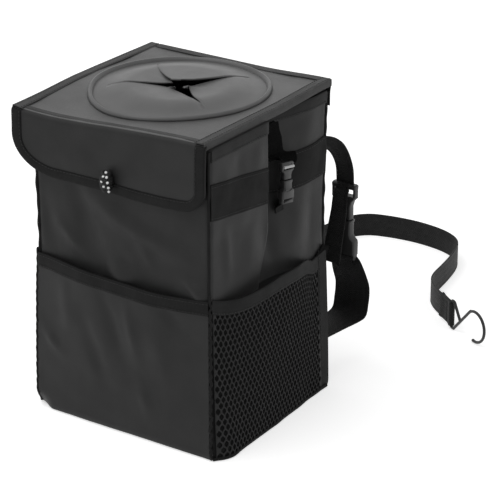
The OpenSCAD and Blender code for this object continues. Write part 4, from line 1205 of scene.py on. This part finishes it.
def corner_web():
    """The end of a back strap on the right wall, where it goes down into the mesh pocket. Its near-black
    tone is partly painted shade of the pocket's mouth.
    """
    y = np.array([HALF_D - 0.5, 91.2, 82.3, 73.4, 62.6])
    z = np.array([141.0, 136.6, 132.1, 127.6, 122.2])
    path = resample(settle(join(wall_x(y, z) + 1.0, y, z)), 60, 2)
    ribbon("corner_web", path, (0, 0.45, -0.89), 14.0, 1.0, SHADE_PAINTED_WEB, "bin")


for sign, word in SIDES:
    side_band(sign, word)
    side_clip(sign, word)
corner_web()


# Back straps and buckle

BUCKLE_W, BUCKLE_T, BUCKLE_SOCKET_L, BUCKLE_HEAD_L, BUCKLE_LUG = 26.0, 9.0, 39.0, 36.0, 9.0
BUCKLE_LADDER = 6.5
BUCKLE_HANG = 4.0  # how far the buckle hangs lower than the solid's
LOOP_W, LOOP_Z, LOOP_FOOT_W, SEWN_L = 38.0, 46.0, 25.0, 18.0
TAIL_L, TAIL_LEAN = 72.0, 12.0
BUCKLE = Clip(BUCKLE_W, BUCKLE_T, BUCKLE_SOCKET_L, BUCKLE_HEAD_L, BUCKLE_LUG, BUCKLE_LADDER)
BUCKLE_AT = clip_mouth("back_buckle_socket") - UP * BUCKLE_HANG
STRAP_X, BUCKLE_Y, BUCKLE_Z = BUCKLE_AT
LOW_BAR_Z, HIGH_BAR_Z = BUCKLE_Z + BUCKLE.low_bar, BUCKLE_Z + BUCKLE.high_bar
EYE = BAR_D / 2 + BAR_GAP + WEB_T / 2
TOP_WEB_Z = corners("back_upper_web")[1][2] - SEWN_L

def side_ribbon(name, path, widths, body, node, shift, turn=0.0, count=110):
    """Webbing that follows a path of depths and heights, with its shift to the side and its twist
    in degrees at each point"""
    flat = resample(join(*np.array(path, float).T, widths, shift, turn), count, 3)
    place = join(STRAP_X + flat[:, 3], flat[:, 0], flat[:, 1])
    twist = np.radians(flat[:, 4])
    across = join(np.cos(twist), 0, np.sin(twist))
    return ribbon(name, place, across, flat[:, 2], WEB_T, DARK_WEB, body, node)


def sewn_patch(x, z, width, height):
    """A box of stitches with its cross on the back wall"""
    a, b = width / 2 - 2.2, height / 2 - 1.5
    frame_line = [[-a, -b], [a, -b], [a, b], [-a, b], [-a, -b]]
    for path in (frame_line, [[-a, -b], [a, b]], [[-a, b], [a, -b]]):
        line = rounded(path, 0.5, 2)
        stitch("bin", join(x + line[:, 0], HALF_D + WEB_T + 0.2, z + line[:, 1]), (0, 1, 0), 2.8, 2.1)


def wide_strap():
    """The lower strap, from its sewn foot up and round the socket's bar"""
    out = BUCKLE_Y - HALF_D + 12
    neck = LOW_BAR_Z - EYE - 4
    path = [
        [WALL_Y, LOOP_Z - SEWN_L], [WALL_Y + 0.3, LOOP_Z - 5], [WALL_Y + 4, LOOP_Z - 1],
        [HALF_D + out * 0.55, LOOP_Z + 0.5], [HALF_D + out * 0.93, LOOP_Z + 2.5],
        [HALF_D + out, LOOP_Z + 14], [HALF_D + out, LOOP_Z + 31],
        [HALF_D + out * 0.93, LOOP_Z + (neck - LOOP_Z) * 0.72], [BUCKLE_Y + 2.2, neck],
        [BUCKLE_Y + EYE, LOW_BAR_Z], [BUCKLE_Y, LOW_BAR_Z + EYE], [BUCKLE_Y - EYE, LOW_BAR_Z],
        [BUCKLE_Y - 1.2, neck + 2], [BUCKLE_Y + 1.5, neck - 9]]
    step = np.arange(len(path))
    foot = 1 - ramp(step, 0.5, 4)
    at_clip = np.where(step == 8, LOOP_W * 0.86, WEB_W - 2)
    width = np.where(step < 8, LOOP_W - (LOOP_W - LOOP_FOOT_W) * foot, at_clip)
    shift = 2.5 * np.exp(-((step - 6.3) / 1.6) ** 2) - 7 * foot
    side_ribbon("wide_back_strap", path, width, "bin", "back_loop_strap", shift, 0, 150)
    sewn_patch(STRAP_X - 7, LOOP_Z - SEWN_L / 2 - 2, LOOP_FOOT_W, SEWN_L - 4)


def upper_web():
    """The webbing from the plug's bar over to the wall, turning flat to it. A row is the depth, the
    height, the shift and the twist."""
    off, rise, top = BUCKLE_Y - HALF_D, TOP_WEB_Z - HIGH_BAR_Z, TOP_WEB_Z + 5
    rows = np.array([
        [BUCKLE_Y, HIGH_BAR_Z + EYE, 0, 0], [BUCKLE_Y - off * 0.08, HIGH_BAR_Z + rise * 0.4, 1.5, 4],
        [BUCKLE_Y - off * 0.22, HIGH_BAR_Z + rise * 0.7, 1.5, 14],
        [BUCKLE_Y - off * 0.42, HIGH_BAR_Z + rise * 0.94, 1, 30],
        [BUCKLE_Y - off * 0.66, HIGH_BAR_Z + rise * 1.07, 0, 50], [WALL_Y + 6, top, -1.5, 70],
        [WALL_Y + 1.5, top, -5, 84], [WALL_Y, top, -10, 90], [WALL_Y, top, -22, 90]])
    web = side_ribbon("upper_back_web", rows[:, :2], WEB_W - 1, None, "back_upper_web", rows[:, 2],
                      rows[:, 3])
    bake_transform(web)
    sewn_patch(STRAP_X - 15, top, 13, WEB_W - 3)


def loose_tail():
    """The end of the webbing that hangs from the plug"""
    at_bar = BUCKLE_Y - BAR_D / 2 - BAR_GAP - WEB_T - 0.3
    at_plug = BUCKLE_Y - BUCKLE_T / 2 - 0.3 - WEB_T / 2
    path = [
        [BUCKLE_Y + 1.5, HIGH_BAR_Z + 3.2], [at_bar + 1.5, HIGH_BAR_Z + 3.4], [at_bar, HIGH_BAR_Z],
        [at_bar, HIGH_BAR_Z - BAR_D], [at_plug, HIGH_BAR_Z - BUCKLE_LUG + 2]]
    for lean, drop in ((0.1, 0.3), (0.35, 0.5), (0.7, 0.75), (1, 1)):
        path.append([at_plug - TAIL_LEAN * lean, HIGH_BAR_Z - TAIL_L * drop])
    shift, width = np.linspace(0.5, -3.5, len(path)), np.linspace(12, WEB_W, len(path))
    side_ribbon("loose_web_tail", path, width, "back_plug", "back_strap_tail", shift)


BUCKLE.place(("buckle_shell", "buckle_tongue"), ("back_buckle_socket", "back_buckle_plug"),
             ("bin", "back_plug"), BUCKLE_AT, np.array([1.0, 0, 0]), np.array([0, 1.0, 0]))
wide_strap()
upper_web()
loose_tail()
sewn_patch(STRAP_ROUTE[0][0] - 6, LONG_WEB_W / 2, 16, LONG_WEB_W - 2)


# Lid

def rect_border(x0, y0, x1, y1, count=30):
    """Points round a rectangle, from its right front corner, the same number on each side"""
    t = np.linspace(0, 1, count, endpoint=False)
    sides = [(x1, y0, x1, y1), (x1, y1, x0, y1), (x0, y1, x0, y0), (x0, y0, x1, y0)]
    return np.vstack([join(a + (c - a) * t, b + (d - b) * t) for a, b, c, d in sides])


def holed_panel(name, inset, low, high, finish, node, soft=0.0):
    """Flat lid layer with the disc's hole, soft edges and slight waves"""
    border = rect_border(LID_LEFT + TAPE_T + inset, LID_Y0 + 0.6 + inset, LID_RIGHT - TAPE_T - inset,
                         LID_Y1 - inset)
    centre = np.array([DISC_X, DISC_Y])
    inner = centre + unit(border - centre) * DISC_HOLE_R
    share = np.r_[0, 0.012, 0.04, np.linspace(0.12, 0.88, 13), 0.96, 0.988, 1]
    edge = (high - low) * 0.3 * (1 - smooth(np.minimum(share, 1 - share) / 0.04))
    top, foot = [], []
    for t, down in zip(share, edge):
        x, y = (inner + (border - inner) * t).T
        wave = soft * ripple(x, y, 61, 110) * math.sin(math.pi * t) ** 0.5
        top.append(join(x, y, high - down + wave))
        foot.append(join(x, y, low + down))
    sweep(name, settle(np.stack(top + foot[::-1], 1), True), finish, "lid", node, closed=True)


FLAP_FOLDS = [(-60, 262, -20, 280, 12, 0.8), (20, 250, 66, 262, 10, 0.7), (-14, 262, 0, 244, 9, -1.0)]
FLAP_FOOT_LINE = [(-112, 235), (-10, 234.6), (30, 233.4), (60, 233.8), (78, 235.5), (90, 238), (98, 239)]
ROLL_R = 6.0
ROLL_Z = LID_TOP + 0.3 - ROLL_R


def flap_y(x, z):
    """Outer face of the front flap"""
    v = np.clip((z - FLAP_LOW) / (LID_TOP - FLAP_LOW), 0, 1)
    belly = 1.6 * np.sin(np.pi * v) * (0.6 + 0.4 * ripple(x, z, 51, 120))
    soft = creases(x, z, FLAP_FOLDS) + 0.35 * ripple(x, z, 52, 60)
    return LID_Y0 - FLAP_T - belly - soft * np.sin(np.pi * v) ** 0.5


def flap_point(x, z):
    """A point of the flap's outer face. Heights past the roll's start run on over the lid's edge."""
    rise = through(x, FLAP_FOOT_LINE) + sag(x, LID_Y0 + 0 * x) - FLAP_LOW
    z = z + rise * (1 - ramp(z, FLAP_LOW, 58))
    past = np.maximum(z - ROLL_Z, 0)
    turn = np.minimum(past / ROLL_R, np.pi / 2)
    over = np.maximum(past - ROLL_R * np.pi / 2, 0)
    low = np.minimum(z, ROLL_Z)
    return join(x, flap_y(x, low) + ROLL_R * (1 - np.cos(turn)) + over, low + ROLL_R * np.sin(turn))


def flap_border(d, top):
    """Outline of the flap at distance d inside its edge, from the top left round to the top right"""
    x0, x1, low = LID_LEFT + d, LID_RIGHT - d, FLAP_LOW + d
    left, right = FLAP_R_LEFT - d, FLAP_R_RIGHT - d
    a, b = np.radians(np.linspace(180, 270, 16)), np.radians(np.linspace(270, 360, 12))
    return np.vstack([
        join(x0, np.linspace(top, low + left, 14, endpoint=False)),
        join(x0 + left + left * np.cos(a), low + left + left * np.sin(a)),
        join(np.linspace(x0 + left, x1 - right, 34)[1:-1], low),
        join(x1 - right + right * np.cos(b), low + right + right * np.sin(b)),
        join(x1, np.linspace(low + right, top, 17)[1:])])


def flap():
    top = ROLL_Z + ROLL_R * np.pi / 2 + 4
    turn = np.radians(np.linspace(0, 90, 18))
    z = np.r_[FLAP_LOW + 1 + (FLAP_R_LEFT - 1) * (1 - np.cos(turn)),
              np.linspace(FLAP_LOW + FLAP_R_LEFT, ROLL_Z, 10)[1:], np.linspace(ROLL_Z, top, 12)[1:]]
    border = flap_border(1.0, top)
    half = int(np.argmin(border[:, 1] + np.abs(border[:, 0]) * 1e-3))
    x_left = np.interp(z, border[:half + 1, 1][::-1], border[:half + 1, 0][::-1])[:, None]
    x_right = np.interp(z, border[half:, 1], border[half:, 0])[:, None]
    x = x_left + (x_right - x_left) * np.linspace(0, 1, 80)
    grid = flap_point(x, np.broadcast_to(z[:, None], x.shape))
    sheet("front_flap", settle(grid, True), FLAP_T, CLOTH, "lid", "lid_flap")

    def at(d):
        return flap_point(*flap_border(max(d, -1.0), ROLL_Z + 4).T)
    rings, uv = edge_tape(at, np.array([0, -1.0, 0]), FLAP_T, TAPE_W, TAPE_W - 1)
    sweep("front_flap_tape", settle(rings, True), TAPE, "lid", "lid_flap_binding", uv)
    stitch("lid", settle(at(TAPE_W - 1.4) - [0, SEAM_OUT, 0], True), (0, -1, 0))


def side_tape(side, name):
    """Tape round a side edge of the lid"""
    edge = LID_RIGHT - TAPE_T if side > 0 else LID_LEFT + TAPE_T
    y = np.linspace(LID_Y0 - 1.2, LID_Y1 - 0.2, 80)
    wave = 0.35 * np.sin(y / 17) + 0.25 * np.sin(y / 7.5)

    def at(d):
        return join(edge + side * (0.3 * wave - d), y, LID_TOP + 0.05 + (d > 5) * 0.25 * wave)
    rings, uv = edge_tape(at, UP, LID_TOP - LINING_Z + 0.1, TAPE_W, TAPE_W)
    # The lid's tapes take the lighter copy of the tape, which is painted light
    sweep("lid_side_tape_" + name, settle(rings, True), LIT_TOP_TAPE, "lid", "lid_binding_" + name, uv)
    for d in (TAPE_W - 1.3, 1.8):
        stitch("lid", settle(at(d) + UP * SEAM_OUT, True), UP)


def hinge_cloth():
    """Cloth that joins the back wall and the lid"""
    y0, y1 = HALF_D + TAPE_T + 1.1, LID_Y1 + 0.9
    path = [
        [y0, BODY_TOP - HEM_H - 4], [y0, BODY_TOP - 3], [y1 + 0.4, BODY_TOP + 0.6],
        [y1 + 0.5, LID_TOP - 1.5], [y1 - 0.4, LID_TOP + 0.9], [y1 - 3, LID_TOP + 1.1],
        [y1 - 9, LID_TOP + 0.9]]
    row_y, row_z = resample(path, 26).T
    x, y = np.meshgrid(np.linspace(1, -1, 70) * (HALF_W - PIPING_D), row_y)
    z = np.broadcast_to(row_z[:, None], x.shape)
    grid = join(x, y + 0.15 * ripple(x, z, 71, 30), z)
    share = ramp(z, BODY_TOP, 4)[..., None]
    grid = grid + (settle(grid, True) - grid) * share
    cloth = sheet("hinge_cloth", grid, FOLD_T, CLOTH, None, "lid_hinge_strip")
    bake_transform(cloth)


# Slits of the rubber: direction, reach, how far they gape at the middle, how far they bend
SLITS = [(54, 66, 2.2, 0), (145, 62, 1.5, 4), (212, 48, 1.2, 0), (325, 53, 10, -4)]
SLIT_W, SLIT_R, PETAL_LIFT, PETAL_SAG = 0.9, 66.0, 1.5, 5.0
TIPS = (9.0, 8.0, 4.0, 2.5)  # how far from the middle each petal ends
PETAL_STEPS = 26


def half_gap(r, reach, gape):
    """Angle from the middle of a slit to its edge at radius r"""
    if r >= reach:
        return 0
    return math.asin(min(1, (SLIT_W + gape * (1 - r / reach)) / 2 / r))


def slit_bend(r, reach, bend):
    """Angle that a slit wanders to the side at radius r"""
    return math.radians(bend) * math.sin(math.pi * min(r / reach, 1))


def petal_row(q, r):
    """One arc of the quarter q of the disc, from its slit to the next one"""
    start, reach, gape, bend = SLITS[q]
    stop, next_reach, next_gape, next_bend = SLITS[(q + 1) % 4]
    stop += 360 if stop < start else 0
    middle, near = math.radians((start + stop) / 2), max(r, 2.5)
    first = math.radians(start) + slit_bend(r, reach, bend) + half_gap(near, reach, gape)
    last = math.radians(stop) + slit_bend(r, next_reach, next_bend)
    last -= half_gap(near, next_reach, next_gape)
    row = []
    for t in np.arange(PETAL_STEPS + 1) / PETAL_STEPS:
        a = first + (last - first) * t
        tip = TIPS[q] / max(math.cos(a - middle), 0.5)
        row.append(rubber_point(tip + (SLIT_R - tip) * r / SLIT_R if r < SLIT_R else r, a, q, t))
    return row


def rubber_point(r, a, q, t):
    """A point at radius r and angle a. The rear petal stands up and the others sag."""
    bead = DISC_R - BEAD_W
    if r >= bead:
        z = RUBBER_T * 0.7 + BEAD_H * math.sin(math.pi * (DISC_R - r) / BEAD_W) ** 0.8
        z -= max(0.8 - (DISC_R - r), 0) * 1.2
    else:
        z = RUBBER_T * 0.7 + DOME_H * smooth((bead - r) / 34) - 0.5 * math.exp(-((bead - r) / 1.6) ** 2)
    share = max(0.0, 1 - r / 60) ** 1.5
    x, y = DISC_X + r * math.cos(a), DISC_Y + r * math.sin(a)
    if q == 0:
        z += PETAL_LIFT * share
        reach = max(0.0, 1 - r / 62)
        x -= (1 + 4 * t) * reach
        y -= (8.5 + 4 * t) * reach
    else:
        z -= PETAL_SAG * share * (1 + 0.6 * abs(t - 0.5)) * (0.5 if q == 1 else 1)
    return [x, y, LID_TOP + z]


def rubber():
    """Domed disc with a rim bead, cut into four petals"""
    rim_in = np.array([14, 10.5, 8, 6.6, 5.8, 5.2, 4.6, 3.8, 2.8, 1.8, 1.0, 0.5, 0.0])
    radii = np.r_[np.r_[0.0, 0.03, 0.07, np.linspace(0.12, 1, 26)] * SLIT_R, DISC_R - rim_in]
    points, faces = [], []
    for q in range(4):
        first = len(points)
        for r in radii:
            points += petal_row(q, r)
        faces += [tuple(first + v for v in face) for face in quads(len(radii), PETAL_STEPS + 1)]
    disc = piece("rubber_disc", settle(points, True), faces, RUBBER, "lid", "rubber_aperture",
                 closed=False)

    def weld(work):
        bmesh.ops.remove_doubles(work, verts=work.verts, dist=0.02 * MM)
        for face in work.faces:
            if face.normal.z < 0:
                face.normal_flip()
    edit(disc.data, weld)
    thicken(disc, RUBBER_T * 0.85)


def closure():
    """The two halves of the closure, with their pile"""
    for name, node, body, out in (("loop_pile", "closure_loop_patch", "bin", -1),
                                  ("hook_pile", "closure_hook_patch", "lid", 1)):
        low, high = corners(node)
        x, z = np.meshgrid(np.linspace(low[0], high[0], 110), np.linspace(low[2], high[2], 34))
        pile = 0.22 * np.sin(x * 3.1 + 0.8 * np.sin(z * 2)) * np.sin(z * 3.3)
        face = low[1] if out < 0 else high[1]
        grid = join(x, face + out * (pile - 0.25), z)[:, ::-out]
        sheet(name, grid, max(high[1] - low[1] - 0.3, 0.5), FUZZ, body, node)


KNOT_CORD, KNOT_TURNS = 1.8, 6
# White flecks of the knot's cord, across and up from its middle
FLECKS = [
    (0.2, 5.6), (3.8, 5.8), (-0.9, 1.2), (5.4, 1.4), (1.0, -3.0), (6.2, -3.2), (5.2, -7.4), (1.4, 9.0)]


def knot():
    """Pull knot: a cord wound on itself, with its white flecks in two columns"""
    low, high = corners("pull_knot")
    middle, half = (low + high) / 2 + [5.0, 1.5, 1.0], (high - low) / 2 * [0.84, 0.72, 0.92]
    wound = Joined()
    turn = np.linspace(0, 2 * np.pi, 28, endpoint=False)
    for k in range(KNOT_TURNS):
        z = (half[2] - KNOT_CORD) * (2 * k / (KNOT_TURNS - 1) - 1)
        r = (half[0] - KNOT_CORD * 0.7) * math.sqrt(max(0.12, 1 - (z / half[2]) ** 2))
        path = middle + join(r * np.cos(turn), r * np.sin(turn), z + 0.8 * np.sin(turn + k))
        wound.add(pipe_rings(np.vstack([path, path[:1]]), KNOT_CORD, 9))
    turn = np.linspace(-0.42 * np.pi, 0.42 * np.pi, 20)
    for x in (-2.6, 2.6):
        out, high = half[1] - KNOT_CORD * 0.55, half[2] - KNOT_CORD * 0.9
        path = join(x, -out * np.cos(turn), high * np.sin(turn))
        wound.add(pipe_rings(middle + path, KNOT_CORD * 0.95, 9))
    wound.make("wound_cord_knot", CORD, "lid", "pull_knot")
    flecks = Joined()
    for x, z in FLECKS:
        y = -(half[1] + 0.6) * math.sqrt(max(0.05, 1 - (z / half[2]) ** 2 * 0.8))
        line = join(x + np.linspace(-1.2, 1.2, 5), y, z + np.linspace(-0.6, 0.6, 5))
        flecks.add(pipe_rings(middle + line, 1.25 * np.array([0.3, 0.85, 1.0, 0.85, 0.3]), 8))
    flecks.make("knot_flecks", FLECK, "lid")


# The lid's top cloth takes the lighter copy of the cloth, which is painted light
holed_panel("lid_top_cloth", 0, COVER_Z, LID_TOP, LIT_TOP_CLOTH, "lid_cover", 0.55)
holed_panel("lid_stiff_board", 1, BOARD_Z + 0.05, COVER_Z - 0.05, BOARD, "lid_board")
holed_panel("lid_under_cloth", 0, LINING_Z, BOARD_Z, CLOTH, "lid_lining")
flap()
for sign, word in SIDES:
    side_tape(sign, word)
hinge_cloth()
rubber()
closure()
knot()
for name, joined in STITCHES.items():
    joined.make("stitches_" + name, THREAD, name, angle=60)
